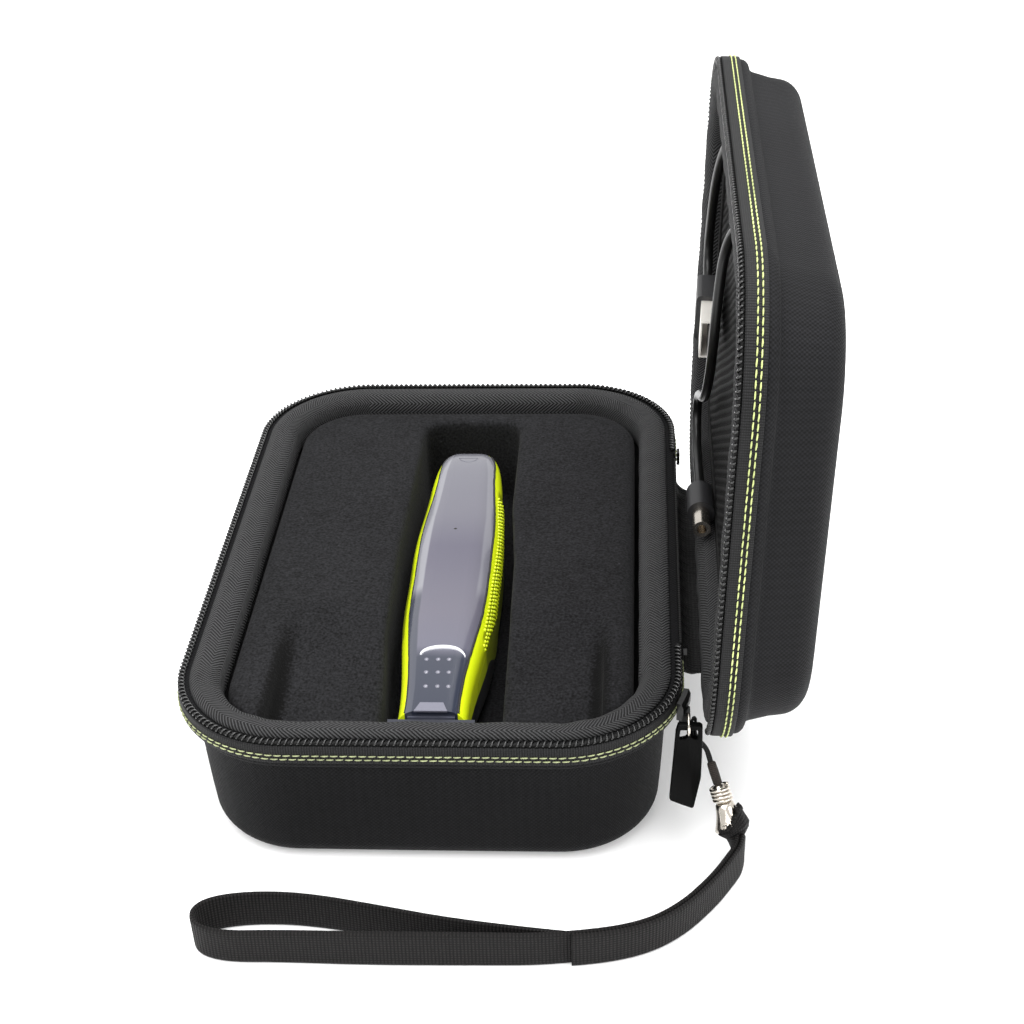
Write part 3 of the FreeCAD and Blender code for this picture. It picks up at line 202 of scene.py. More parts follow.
def shell_fabric(name, painted_light_scale):
    m = Finish(name, grey(0.012, 1.1), 0.72, Sheen_Weight=0.02, Sheen_Roughness=0.35, Specular_IOR_Level=0.09)
    u, v = m.sheet_uv()
    turn = 2 * pi / 1.25  # one weave every 1.25 mm
    weave = m.madd(m.mul(m.calc("SINE", m.mul(u, turn)), m.calc("SINE", m.mul(v, turn))), 0.5, 0.5)
    ribs, fine, broad = m.wave(u, 3.1), m.noise(900.0), m.noise(22.0, 4.0)
    tone = m.add(m.total((weave, 0.62), (fine, 0.3)), m.madd(broad, 0.3, -0.16))
    tone = m.add(tone, m.madd(ribs, 0.08, -0.04))
    # painted_light_scale brightens or darkens the whole fabric: painted light and shade
    m.paint(tone, grey(0.0034 * painted_light_scale), grey(0.0150 * painted_light_scale, 1.12), (0.15, 1.0))
    m.rough(fine, 0.62, 0.85)
    return m.bump(m.add(weave, m.mul(fine, 0.5)), 0.00018, 0.6)


def twill(name, dark, light, pitch, width, depth):
    """Herringbone ribs whose slant turns over every width."""
    m = Finish(name, light, 0.7, Sheen_Weight=0.03, Sheen_Roughness=0.4, Specular_IOR_Level=0.15)
    u, v = m.sheet_uv()
    fold = m.calc("PINGPONG", v, width)
    ribs, thread = m.wave(m.madd(fold, 1.15, u), pitch), m.wave(m.madd(fold, -1.4, u), 0.62)
    m.paint(m.total((ribs, 0.68), (m.noise(1400.0), 0.28), (thread, 0.14)), dark, light, (0.25, 1.0))
    return m.bump(m.add(ribs, m.mul(thread, 0.22)), depth, 0.9)


def ribbed(name, dark, light, pitch_u, pitch_v, depth, rough=0.65, sheen=0.02):
    """Woven tape or webbing: ribs across its length and a finer row along it."""
    m = Finish(name, light, rough, Sheen_Weight=sheen, Sheen_Roughness=0.4, Specular_IOR_Level=0.18)
    u, v = m.sheet_uv()
    cell = m.mul(m.wave(u, pitch_u), m.madd(m.wave(v, pitch_v), 0.6, 0.4))
    m.paint(m.total((cell, 0.7), (m.noise(1200.0), 0.3)), dark, light, (0.15, 0.9))
    return m.bump(cell, depth, 0.8)


def felt(name, dark, light, sheen=0.03, painted_shade_creases=()):
    """Short brushed pile with light fibres in it; darker towards the front along the given creases (x,
    width), which is painted shade.
    """
    m = Finish(name, light, 0.92, Sheen_Weight=sheen, Sheen_Roughness=0.55, Specular_IOR_Level=0.08)
    fine = m.noise(1350.0, 3.0)
    speck = m.ramp(m.noise(620.0, 1.0), [(0.76, 0.0), (0.82, 1.0)])
    tone = m.madd(speck, 0.5, m.total((fine, 0.85), (m.noise(55.0, 4.0), 0.15)))
    if painted_shade_creases:
        x, y, _ = m.place()
        # Painted shade in the creases, darker towards the front of the tray.
        front = m.span(y, -0.034, -0.062)
        for middle, width in painted_shade_creases:
            off = m.calc("ABSOLUTE", m.sub(x, middle))
            tone = m.madd(m.mul(front, m.span(off, width, 0.0)), -0.34, tone)
    m.paint(tone, dark, light, (0.3, 0.85))
    return m.bump(fine, 0.00035, 0.6)


def gloss(name, colour, rough, variation=0.12, coat=0.0, metal=0.0, grain=300.0, depth=0.00003, **more):
    """Moulded or plated surface with faint unevenness and wear in its polish."""
    m = Finish(name, colour, rough, metal, Coat_Weight=coat, Coat_Roughness=0.08, **more)
    cloud, fine = m.noise(60.0, 3.0), m.noise(grain * 4, 2.0)
    low = tuple(c * (1 - variation) for c in rgb(colour))
    high = tuple(min(1.0, c * (1 + variation)) for c in rgb(colour))
    m.paint(m.total((cloud, 0.7), (fine, 0.3)), low, high, (0.3, 0.7))
    m.rough(m.total((cloud, 0.6), (fine, 0.4)), max(0.02, rough - 0.06), min(1.0, rough + 0.09))
    return m.bump(fine, depth, 0.35)


def handle_finish(name, colour, rough):
    """Lime sides over a charcoal front half, the line between them rising towards the neck; painted shade
    dims the lime under the grip bumps.
    """
    m = Finish(name, colour, rough, Coat_Weight=0.3, Coat_Roughness=0.08)
    _, y, z = m.place()
    cloud, fine = m.noise(60.0), m.noise(1300.0, 2.0)
    tone = m.total((cloud, 0.7), (fine, 0.3))
    tone_of = [(0.3, tuple(c * 0.93 for c in colour)), (0.7, tuple(c * 1.06 for c in colour))]
    # Lime at 0.45 below 37.8 mm between the ends of the bump rows: painted shade between the grip bumps.
    painted_shade_stops = [(k, tuple(v * 0.45 for v in c)) for k, c in tone_of]
    ends = m.mul(m.span(y, -0.0435, -0.0405), m.span(y, 0.0425, 0.0395))
    lime = m.mix(m.mul(m.span(z, 0.0384, 0.0378), ends), m.ramp(tone, tone_of), m.ramp(tone, painted_shade_stops))
    line = m.madd(m.span(y, -0.022, -0.040), 0.0085, 0.0182)
    line = m.madd(m.span(y, -0.040, -0.078), 0.003, line)
    above = m.span(m.sub(z, line), -0.0001, 0.0001)
    m.colour(m.mix(above, (0.012, 0.012, 0.014), lime))
    m.rough(tone, rough - 0.06, rough + 0.09)
    return m.bump(fine, 0.00003, 0.35)


def panel_finish():
    """Smoked clear plastic over grey with painted reflections: darker past the bend towards the neck, a
    painted highlight along its upper edges, and painted shade on its lower left edge and in the corners of
    its far end.
    """
    m = Finish("shaver_panel", (0.15, 0.15, 0.17), 0.14, Coat_Weight=0.35, Coat_Roughness=0.03)
    x, place, _ = m.place()
    along = m.put("MapRange", {"Value": place, "From Min": -0.0805, "From Max": 0.066}).outputs[0]
    widths = ((0.0, 0.608), (0.08, 0.62), (0.18, 0.725), (0.3, 0.867), (0.48, 0.925), (0.68, 0.9),
              (0.88, 0.742), (0.965, 0.567), (1.0, 0.383))
    half = m.ramp(along, widths)
    across = m.calc("DIVIDE", m.calc("DIVIDE", m.sub(x, SHAVER_X * MM), 0.012), half)
    left, right = m.span(across, -0.70, -0.76), m.span(across, 0.74, 0.82)
    upper, tip = m.span(along, 0.36, 0.42), m.span(along, 0.955, 0.985)
    cloud = m.noise(40.0, 3.0)
    along = m.madd(cloud, 0.05, m.sub(along, 0.025))
    # Painted reflection: dark past the bend towards the neck, lighter again towards the far end.
    shade = m.ramp(along, [(0.0, (0.022, 0.026, 0.042)), (0.17, (0.03, 0.034, 0.05)),
                           (0.205, (0.1, 0.098, 0.128)), (0.32, (0.1, 0.095, 0.122)),
                           (0.55, (0.08, 0.076, 0.104)), (1.0, (0.14, 0.14, 0.158))])
    # Painted highlight along the upper edges; painted shade on the lower left edge and in the corners of the
    # far end.
    painted_edge_highlight = m.mul(m.calc("MAXIMUM", left, m.mul(right, 0.45)), upper)
    painted_tip_shade = m.mul(tip, m.span(m.calc("ABSOLUTE", across), 0.45, 0.75))
    for amount, tint in ((painted_edge_highlight, (0.2, 0.2, 0.222)), (m.mul(left, m.sub(1.0, upper)), (0.048, 0.052, 0.07)),
                         (painted_tip_shade, (0.05, 0.052, 0.07))):
        shade = m.mix(amount, shade, tint)
    m.colour(shade)
    m.rough(cloud, 0.12, 0.24)
    return m.bump(m.noise(1800.0), 0.00001, 0.2)


M = {
    # The lid's fabric is painted lighter (1.15) than the base's (0.75): painted light on the lid, painted
    # shade on the base.
    "base_shell": shell_fabric("base_fabric", 0.75), "lid_shell": shell_fabric("lid_fabric", 1.15),
    "lining": felt("lining_fabric", 0.003, 0.015, 0.02),
    # The tray's two creases at x -43.2 and 47.2 mm carry painted shade.
    "tray": felt("tray_fabric", 0.002, grey(0.023, 1.1), 0.02, ((-0.0432, 0.0042), (0.0472, 0.0042))),
    "binding": twill("binding_twill", 0.002, grey(0.062, 1.03), 1.3, 3.3, 0.00042),
    "tape": ribbed("zip_tape", 0.003, grey(0.02, 1.05), 0.7, 0.55, 0.00012),
    "coil": gloss("zip_coil", 0.005, 0.14, 0.2, 0.35, Specular_IOR_Level=0.4),
    "coil_core": ribbed("coil_core", 0.002, 0.008, 0.9, 0.6, 0.0001),
    # stitch_thread is a darker, duller copy of the lime thread, used on the base: painted shade.
    "thread": gloss("stitch_thread", (0.3, 0.33, 0.17), 0.55, 0.4, 0.0, 0.0, 500.0, 0.00008),
    "thread_lime": gloss("stitch_lime", (0.47, 0.53, 0.2), 0.55, 0.35, 0.0, 0.0, 500.0, 0.00008),
    "gusset": ribbed("gusset_fabric", 0.003, 0.015, 1.1, 1.1, 0.0002),
    "lime": handle_finish("shaver_lime", (0.64, 0.76, 0.008), 0.3),
    "front": gloss("shaver_front", grey(0.06, 1.1), 0.35),
    "grip": handle_finish("grip_rubber", (0.5, 0.6, 0.007), 0.55),
    "grip_top": gloss("grip_tops", (0.62, 0.74, 0.01), 0.42, 0.08),
    "button": gloss("button_grey", grey(0.09, 1.1), 0.4),
    "board": gloss("board_green", (0.02, 0.12, 0.04), 0.45),
    "switch": gloss("switch_black", 0.02, 0.4),
    "cell": gloss("cell_case", (0.1, 0.22, 0.4), 0.35),
    "can": gloss("motor_can", 0.55, 0.3, 0.1, 0.0, 1.0),
    "steel": gloss("rod_steel", 0.6, 0.25, 0.1, 0.0, 1.0),
    "mount": gloss("mount_plastic", 0.3, 0.5),
    "socket": gloss("socket_black", 0.02, 0.4),
    "panel": panel_finish(),
    "slate": gloss("neck_slate", (0.06, 0.064, 0.088), 0.3, 0.1, 0.4),
    "guard": gloss("guard_slate", (0.034, 0.036, 0.048), 0.5, 0.1, Specular_IOR_Level=0.2),
    "latch": gloss("latch_slate", (0.13, 0.13, 0.165), 0.22, 0.1, 0.6),
    # Pale glossy finish for the tube along the panel's bend: a painted highlight.
    "painted_highlight": gloss("painted_ridge_highlight", (0.6, 0.6, 0.64), 0.15, 0.05, 0.5),
    "black": gloss("tab_black", 0.0018, 0.38, 0.25, 0.0, Specular_IOR_Level=0.06),
    "seam": gloss("seam_black", 0.004, 0.6),
    "metal_black": gloss("slider_metal", 0.02, 0.28, 0.2, 0.3, 0.7),
    "nickel": gloss("nickel", (0.68, 0.63, 0.56), 0.2, 0.1, 0.0, 1.0, 60.0),
    "usb": gloss("usb_steel", (0.95, 0.92, 0.86), 0.42, 0.03, 0.0, 0.75, 60.0),
    "cord": ribbed("cord_black", 0.003, 0.014, 0.6, 0.5, 0.0001),
    "sleeve": ribbed("sleeve_black", (0.008, 0.006, 0.005), (0.05, 0.04, 0.034), 0.5, 0.5, 0.0002),
    "webbing": ribbed("strap_webbing", 0.001, (0.0155, 0.0135, 0.0135), 0.95, 0.8, 0.00038, 0.7, 0.01),
    "net": ribbed("pocket_net", 0.0015, 0.0055, 0.5, 0.5, 0.0001, 0.8, 0.005),
    "hem": ribbed("hem_elastic", 0.002, 0.014, 0.8, 1.1, 0.0003, 0.7, 0.01),
    "lead": gloss("lead_black", 0.005, 0.34, 0.2, 0.06, Specular_IOR_Level=0.3),
    "tie": ribbed("tie_black", 0.003, 0.015, 0.7, 0.7, 0.0002),
    "mould": gloss("mould_black", grey(0.012, 1.1), 0.42, 0.15, 0.0, 0.0, 900.0, 0.00004),
    "tongue": gloss("tongue_white", (0.16, 0.155, 0.15), 0.5),
    "floor": gloss("floor_white", 0.84, 0.6, 0.005, Emission_Color=(1, 1, 1, 1), Emission_Strength=0.2),
}
WEARERS = {"metal_black": "zip_stops slider_body", "lime": "shaver_body", "panel": "shaver_back_panel",
             "grip": "shaver_side_grips", "front": "shaver_front_panel", "button": "power_button",
             "board": "circuit_board", "switch": "button_switch", "cell": "battery_cell",
             "can": "drive_motor", "steel": "drive_rod blade_cutter", "mount": "motor_mount",
             "socket": "charge_socket", "slate": "neck_plate", "latch": "blade_latch", "guard": "blade_guard",
             "nickel": "slider_bail jack_barrel", "tongue": "usb_tongue", "tie": "lead_tie",
             "mould": "usb_moulding jack_grip", "usb": "usb_shell"}
for finish, wearers in WEARERS.items():
    for node_name in wearers.split():
        for place in NODES[node_name].material_slots:
            place.material = M[finish]


# --- meshes

def piece(name, parts, finish, body, place=None, replaces=(), slot=None):
    """Object from (points, faces, uvs) in millimetres; uvs holds one pair per face corner."""
    verts, faces, uvs = parts
    mesh = bpy.data.meshes.new(name)
    place = place or Matrix.Identity(4)
    mesh.from_pydata([(place @ Vector(v)) * MM for v in verts], [], faces)
    if uvs:
        layer = mesh.uv_layers.new(name="cloth")
        flat = [pair for face in uvs for pair in face]
        for loop, pair in zip(layer.data, flat):
            loop.uv = pair
    mesh.materials.append(M[finish])
    mesh.validate()
    obj = new_object(name, mesh)
    smooth(obj)
    if body:
        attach(obj, body)
    if replaces:
        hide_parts(*replaces)
    return obj


def bake(obj, kind, **settings):
    """Adds a modifier and applies it to the mesh."""
    mod = obj.modifiers.new(kind.lower(), kind)
    for key, value in settings.items():
        setattr(mod, key, value)
    graph = bpy.context.evaluated_depsgraph_get()
    fresh = bpy.data.meshes.new_from_object(obj.evaluated_get(graph), depsgraph=graph)
    obj.modifiers.remove(mod)
    old, obj.data = obj.data, fresh
    fresh.name = obj.name
    bpy.data.meshes.remove(old)
    return obj


STRAIGHT_Y, STRAIGHT_X = LENGTH / 2 - CORNER, WIDTH / 2 - CORNER
ARC = pi / 2 * CORNER
PERIMETER = 4 * (STRAIGHT_X + STRAIGHT_Y) + 4 * ARC
# Runs of the outline from the middle of the hinge side: length, kind, start or centre, turn in degrees
RUNS = [(STRAIGHT_Y, "run", (WIDTH / 2, 0), 0), (ARC, "arc", (STRAIGHT_X, STRAIGHT_Y), 0),
        (2 * STRAIGHT_X, "run", (STRAIGHT_X, LENGTH / 2), 90), (ARC, "arc", (-STRAIGHT_X, STRAIGHT_Y), 90),
        (2 * STRAIGHT_Y, "run", (-WIDTH / 2, STRAIGHT_Y), 180), (ARC, "arc", (-STRAIGHT_X, -STRAIGHT_Y), 180),
        (2 * STRAIGHT_X, "run", (-STRAIGHT_X, -LENGTH / 2), 270),
        (ARC, "arc", (STRAIGHT_X, -STRAIGHT_Y), 270), (STRAIGHT_Y, "run", (WIDTH / 2, -STRAIGHT_Y), 0)]


def outline(s, side):
    """Point and outward normal on the case's outline, s millimetres from the middle of the hinge side."""
    s = s % PERIMETER
    for length, kind, start, turn in RUNS:
        if s <= length + 1e-9:
            break
        s -= length
    a = radians(turn) + (s / CORNER if kind == "arc" else 0)
    n = Vector((cos(a), sin(a)))
    p = Vector(start) + (n * CORNER if kind == "arc" else Vector((-n.y, n.x)) * s)
    k = HINGE_SIDE[side]
    return Vector((k * p.x, p.y)), Vector((k * n.x, n.y))


def stations(start, end, step, arc_step=2.2):
    """Places along the outline, closer together in the corners."""
    out, s = [], start
    while s < end - 0.3 * arc_step:
        out.append(s)
        edge, onward = 0.0, arc_step
        for length, kind, _, _ in RUNS:
            if edge - 1e-6 <= s % PERIMETER < edge + length - 1e-6:
                onward = length / max(1, round(length / (arc_step if kind == "arc" else step)))
                break
            edge += length
        s += onward
    return out + [end]


def run_at(points, i):
    """From the point before to the point after."""
    return points[min(len(points) - 1, i + 1)] - points[max(0, i - 1)]


def reach_of(points):
    """Distance along a line up to each of its points."""
    out = [0.0]
    for a, b in zip(points, points[1:]):
        out.append(out[-1] + ((b - a).length if isinstance(a, Vector) else dist(a, b)))
    return out


def loft(verts, n, uv_of, caps=(), flat=None, wrap=True, flip=False, ring=False):
    """Rows of n points with faces between them. Wrap closes each row, ring joins the last row to the first,
    and caps says which way the faces over the first and last row are turned."""
    rows, faces, uvs = len(verts) // n, [], []
    for i in range(rows if ring else rows - 1):
        for k in range(n if wrap else n - 1):
            cells = [(i, k), (i + 1, k), (i + 1, k + 1), (i, k + 1)]
            if flip:
                cells = [cells[0], *cells[:0:-1]]
            faces.append([a % rows * n + b % n for a, b in cells])
            uvs.append([uv_of(a, b) for a, b in cells])
    for row, turn in zip((0, rows - 1), caps):
        faces.append([row * n + k for k in range(n)][::turn])
        uvs.append((flat or [(0.0, 0.0)] * n)[::turn])
    return verts, faces, uvs


def sweep(name, side, profile, finish, start=0.0, end=PERIMETER, closed=True, shape=None, step=4.0, **more):
    """Profile of (inset, height) pairs carried along the outline."""
    places = stations(start, end, step)
    whole = abs(end - start - PERIMETER) < 1e-6
    rows = places[:-1] if whole else places
    verts = []
    for s in rows:
        p, normal = outline(s, side)
        for k, (d, z) in enumerate(profile):
            if shape:
                d, z = shape(s, k, d, z)
            q = p - normal * d
            verts.append((q.x, q.y, z))
    reach = reach_of(profile + profile[:1])
    verts, faces, uvs = loft(verts, len(profile), lambda i, k: (places[i], reach[k]),
                             (1, -1) if closed and not whole else (), profile, closed, ring=whole)
    if HINGE_SIDE[side] < 0:
        faces, uvs = [f[::-1] for f in faces], [u[::-1] for u in uvs]
    return piece(name, (verts, faces, uvs), finish, side, PLACE[side], **more)


def outward(obj, work=None):
    """Does the given work on a mesh, then turns its faces outward."""
    mesh = bmesh.new()
    mesh.from_mesh(obj.data)
    if work:
        work(mesh)
    bmesh.ops.recalc_face_normals(mesh, faces=mesh.faces)
    mesh.to_mesh(obj.data)
    mesh.free()
    return obj


def fill_holes(mesh):
    return bmesh.ops.holes_fill(mesh, edges=[e for e in mesh.edges if e.is_boundary])["faces"]


def fillet(inset, height, r, a0, a1, n):
    """Arc of a section, from angle a0 to a1, round (inset, height)."""
    angles = [radians(a0 + (a1 - a0) * i / n) for i in range(n + 1)]
    return [(inset - r * cos(a), height + r * sin(a)) for a in angles]


def around(centre, side, other, r, a):
    """Point at angle a on the circle of radius r that side and other span."""
    return centre + side * (r * cos(a)) + other * (r * sin(a))


def tube_mesh(points, radius, sides=8):
    """Points, faces and uvs of a tube along a fine line; radius may be a list."""
    radii = radius if isinstance(radius, list) else [radius] * len(points)
    verts, runs, up = [], reach_of(points), Vector((0, 0, 1))
    for i, p in enumerate(points):
        t = run_at(points, i).normalized()
        side = up - t * up.dot(t)
        if side.length < 0.05:
            side = Vector((1, 0, 0)) - t * t.x
        side.normalize()
        up, other = side, t.cross(side)
        verts += [around(p, side, other, radii[i], 2 * pi * k / sides) for k in range(sides)]
    return loft(verts, sides, lambda i, k: (runs[i], 2 * pi * radii[0] * k / sides), (-1, 1), flip=True)


def join(parts):
    """One mesh from several (verts, faces, uvs)."""
    verts, faces, uvs = [], [], []
    for v, f, u in parts:
        base = len(verts)
        verts += v
        faces += [[i + base for i in face] for face in f]
        uvs += u
    return verts, faces, uvs


# --- camera

def camera():
    eye = Vector((57.62, -487.03, 353.74)) * MM
    pitch, yaw, roll = radians(31.422), radians(-4.483), radians(-2.280)
    ahead = Vector((sin(yaw) * cos(pitch), cos(yaw) * cos(pitch), -sin(pitch)))
    right = Vector((cos(yaw), -sin(yaw), 0))
    up = right.cross(ahead)
    right, up = right * cos(roll) + up * sin(roll), up * cos(roll) - right * sin(roll)
    data = bpy.data.cameras.new("camera")
    data.lens, data.sensor_width, data.sensor_fit = 66.24, 36.0, "HORIZONTAL"
    data.clip_start, data.clip_end = 0.01, 20.0
    obj = new_object("camera", data)
    turn = Matrix((right, up, -ahead)).transposed().to_4x4()
    obj.matrix_world = Matrix.Translation(eye) @ turn
    bpy.context.scene.camera = obj


camera()


# --- cords

def spline(name, points, radius, finish):
    """Curve of one open NURBS spline through its route's control points, in millimetres."""
    data = bpy.data.curves.new(name, "CURVE")
    data.dimensions = "3D"
    line = data.splines.new("NURBS")
    line.points.add(len(points) - 1)
    for point, place in zip(line.points, points):
        point.co = (*(Vector(place) * MM), 1)
    line.order_u = 3
    line.use_endpoint_u = True
    line.resolution_u = 10
    data.resolution_u = 10
    data.bevel_depth = radius * MM
    data.bevel_resolution = 5
    data.use_fill_caps = True
    if finish:
        data.materials.append(M[finish])
    return new_object(name, data)


def line_of(points):
    """Fine points, in millimetres, along a route's spline."""
    guide = spline("line", points, 0, None)
    graph = bpy.context.evaluated_depsgraph_get()
    graph.update()
    mesh = bpy.data.meshes.new_from_object(guide.evaluated_get(graph))
    fine = [v.co / MM for v in mesh.vertices]
    data = guide.data
    bpy.data.objects.remove(guide)
    bpy.data.curves.remove(data)
    bpy.data.meshes.remove(mesh)
    return fine


def in_lid(points):
    return [LID @ Vector(p) for p in points]


def length_of(points):
    return sum((b - a).length for a, b in zip(points, points[1:]))


# Charging lead, in the lid's own frame: jack end, turns of the hank, plug end
JACK_END = [(-53.0, 21.5, 25.4), (-53.0, 31.0, 25.4), (-54.0, 42.0, 25.4), (-53.6, 54.5, 25.5),
            (-47.5, 63.0, 25.6), (-38.5, 60.0, 25.6), (-32.5, 47.0, 25.5), (-25.0, 31.0, 25.5),
            (-13.0, 17.5, 25.4), (2.0, 9.0, 25.4), (18.5, 7.4, 25.2), (35.0, 8.4, 24.2), (46.0, 1.5, 21.4),
            (47.0, -11.0, 17.0), (37.0, -21.0, 12.6), (21.0, -26.2, 10.4), (4.0, -26.6, 10.0)]
PLUG_END = [(4.0, 28.6, 10.0), (22.0, 26.6, 10.2), (38.5, 26.8, 12.0), (50.0, 34.0, 15.6), (53.0, 47.5, 19.6),
            (47.0, 60.0, 22.6), (34.0, 67.6, 24.2), (19.5, 73.6, 24.6), (5.2, 79.4, 24.6),
            (-4.0, 73.8, 24.43), (-4.0, 60.4, 24.9)]
HANK = Vector((-34.3, 0.0, 10.0))


def hank_turns():
    """Three turns of lead in the hank, each in its own place in the bundle."""
    slots = [(1.6, -1.6), (-1.6, -1.6), (-1.6, 1.6), (1.6, 1.6)]
    turns = [(HANK.x + 23.4, -23.0, 10.4), (HANK.x + 20.0 + slots[0][0], -12.0, 10 + slots[0][1])]
    for k in range(3):
        (out, up), (out2, up2) = slots[k], slots[k + 1]
        z, z2 = HANK.z + up, HANK.z + up2
        r, r2 = 20.0 + out, 20.0 + out2
        turns += [(HANK.x + r, 6.0, z), (HANK.x + r, 24.0, z), (HANK.x + r + 0.3, 41.0, z)]
        for angle in (32, 68, 112, 148):
            a = radians(angle)
            turns.append((HANK.x + 1.1 * r * cos(a), 40.0 + 1.1 * r * sin(a), z))
        turns += [(HANK.x - r - 0.3, 39.0, z), (HANK.x - r, 16.0, z), (HANK.x - r, -16.0, z),
                  (HANK.x - r - 0.3, -39.0, z)]
        for angle in (212, 248, 292, 328):
            a, mix = radians(angle), (angle - 180) / 180
            radius = 1.1 * (r + (r2 - r) * mix)
            turns.append((HANK.x + radius * cos(a), -40.0 + radius * sin(a), z + (z2 - z) * mix))
        turns += [(HANK.x + r2 + 0.3, -41.0, z2), (HANK.x + r2, -16.0, z2)]
    return turns + [(HANK.x + r2, 6.0, z2), (HANK.x + r2 + 0.4, 19.0, z2 - 0.6), (HANK.x + 24.6, 27.6, 10.2)]


lead_route = in_lid(JACK_END + hank_turns() + PLUG_END)
lead = spline("charging_lead", lead_route, 1.5, "lead")
lead_length = length_of(line_of(lead_route))
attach(lead, "lid")
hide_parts("lead_hank", "lead_usb_end", "lead_jack_end")

# Wrist strap: doubled webbing, then the hand loop, back into the doubled end
STRAP_LOW, STRAP_TALL, LAYER = 0.2, 11.0, 1.3
STRAP_Z = STRAP_LOW + STRAP_TALL / 2
STRAP_START, STEM_END = (85.4, -94.4, STRAP_Z), (39.7, -133.8, STRAP_Z)
STEM = [STRAP_START] + [(x, y, STRAP_Z) for x, y in (
    (85.0, -98.0), (83.0, -102.0), (77.9, -111.0), (68.8, -122.6), (57.6, -130.1))] + [STEM_END]
LOOP = [(x, y, STRAP_Z) for x, y in ((14.4, -134.1), (-13.0, -134.5), (-36.3, -134.2), (-49.5, -134.7),
        (-57.3, -131.9), (-59.1, -126.4), (-54.6, -122.2), (-43.5, -120.1), (-29.2, -120.5), (-10.0, -124.4),
        (13.4, -129.5), (39.3, -132.7))]


def webbing(points, shift):
    """Woven band on its edge along a flat line, with soft selvedges."""
    half = STRAP_TALL / 2
    levels = (-1, -0.93, -0.8, -0.4, 0, 0.4, 0.8, 0.93, 1)
    section = []
    for sx, zs in ((1, levels), (-1, levels[::-1])):
        for z in zs:
            edge = 0.3 if abs(z) == 1 else (0.8 if abs(z) > 0.9 else 1.0)
            section.append((sx * edge * LAYER / 2, z * half))
    verts, runs = [], reach_of(points)
    for i, p in enumerate(points):
        t = run_at(points, i)
        t.z = 0
        t.normalize()
        normal = Vector((-t.y, t.x, 0))
        lean = 0.25 * sin(runs[i] / 23.0)
        for across, z in section:
            offset = across + shift(runs[i]) + lean * (z / half)
            verts.append(Vector((p.x, p.y, STRAP_LOW + half + z)) + normal * offset)
    reach = reach_of(section + section[:1])
    return loft(verts, len(section), lambda i, k: (runs[i], reach[k]), (1, -1), section)


strap_line = line_of(STEM + LOOP)
stem_end = min(range(len(strap_line)), key=lambda i: (strap_line[i] - Vector(STEM_END)).length
               + (0 if i < len(strap_line) / 2 else 99))


def ease(x):
    x = min(1.0, max(0.0, x))
    return x * x * (3 - 2 * x)


layers = [webbing(strap_line, lambda s: -0.7 * (1 - ease((s - 55) / 25))),
          webbing(strap_line[:stem_end + 1], lambda s: 0.72)]
strap = piece("wrist_strap", join(layers), "webbing", "strap", replaces=("strap_stem", "strap_loop"),
              slot="strap_webbing")
outward(strap)

# Clasp end: sleeve, wire coil, bell and the folded end of the webbing
WAY = Vector((0.305, -0.405, -0.862)).normalized()
CORD_END = Vector((77.5, -83.6, 26.8))
SLEEVE_END = CORD_END + WAY * 6.5
CORE_END = SLEEVE_END + WAY * 4.95


def frame_on(way):
    side = Vector((1, 0, 0))
    side = (side - way * side.dot(way)).normalized()
    return side, side.cross(way)


side_axis, other_axis = frame_on(WAY)


def lathe(origin, profile, segments):
    """Surface turned round the clasp's axis; profile of (distance along, radius)."""
    verts = []
    for long, r in profile:
        for k in range(segments):
            verts.append(around(origin + WAY * long, side_axis, other_axis, r, 2 * pi * k / segments))
    verts, faces, uvs = loft(verts, segments, lambda i, k: (i, k), flip=True)
    for pairs in uvs:  # a face's corners all take the radius of its first row
        r = profile[pairs[0][0]][1]
        pairs[:] = [(profile[i][0], k % segments * 2 * pi * r / segments) for i, k in pairs]
    return verts, faces, uvs


def cap_ends(mesh):
    """Work for outward(): welds the seam and closes both ends."""
    bmesh.ops.remove_doubles(mesh, verts=mesh.verts, dist=1e-7)
    fill_holes(mesh)


loop = [(72.0, -81.9, 33.2), (72.1, -81.9, 39.2), (72.5, -82.0, 40.7), (73.0, -81.8, 40.7),
        (73.2, -81.7, 39.2), (73.1, -81.7, 33.2)]
strands = [tube_mesh(line_of(loop), 0.42, 10)]
for dx, dy in ((-0.42, -0.1), (0.42, 0.12)):
    strand = [(72.6 + dx, -81.8 + dy, 37.2), (72.6 + dx, -81.8 + dy, 34.2),
              (76.1 + dx * 0.5, -81.8 + dy, 30.7), (77.2 + 0.8 * dx, -83.2 + dy, 27.6),
              (77.6 + 0.6 * dx, -83.9 + dy, 26.2)]
    strands.append(tube_mesh(line_of(strand), 0.46, 10))
piece("lanyard_strands", join(strands), "cord", "strap", replaces=("lanyard_loop", "lanyard_cord"),
      slot="cord_black")
sleeve = lathe(CORD_END - WAY * 0.2,
               [(0, 0.5), (0.15, 1.0), (0.5, 1.22), (3.2, 1.3), (6.2, 1.24), (6.7, 0.9)], 28)
outward(piece("lanyard_sleeve_cloth", sleeve, "sleeve", "strap", replaces=("lanyard_sleeve",),
              slot="sleeve_black"), cap_ends)
COIL_STEPS = 28
WHOLE = 4 * COIL_STEPS
helix = [around(SLEEVE_END + WAY * (0.45 + 4.05 * i / WHOLE), side_axis, other_axis, 2.4,
                2 * pi * i / COIL_STEPS) for i in range(WHOLE + 1)]
core = lathe(SLEEVE_END, [(0, 0.9), (0.2, 1.6), (4.9, 1.75), (5.0, 1.0)], 20)
coil = piece("lanyard_spring", join([tube_mesh(helix, 0.45, 10), core]), "nickel", "strap",
             replaces=("lanyard_wire_coil",), slot="nickel")
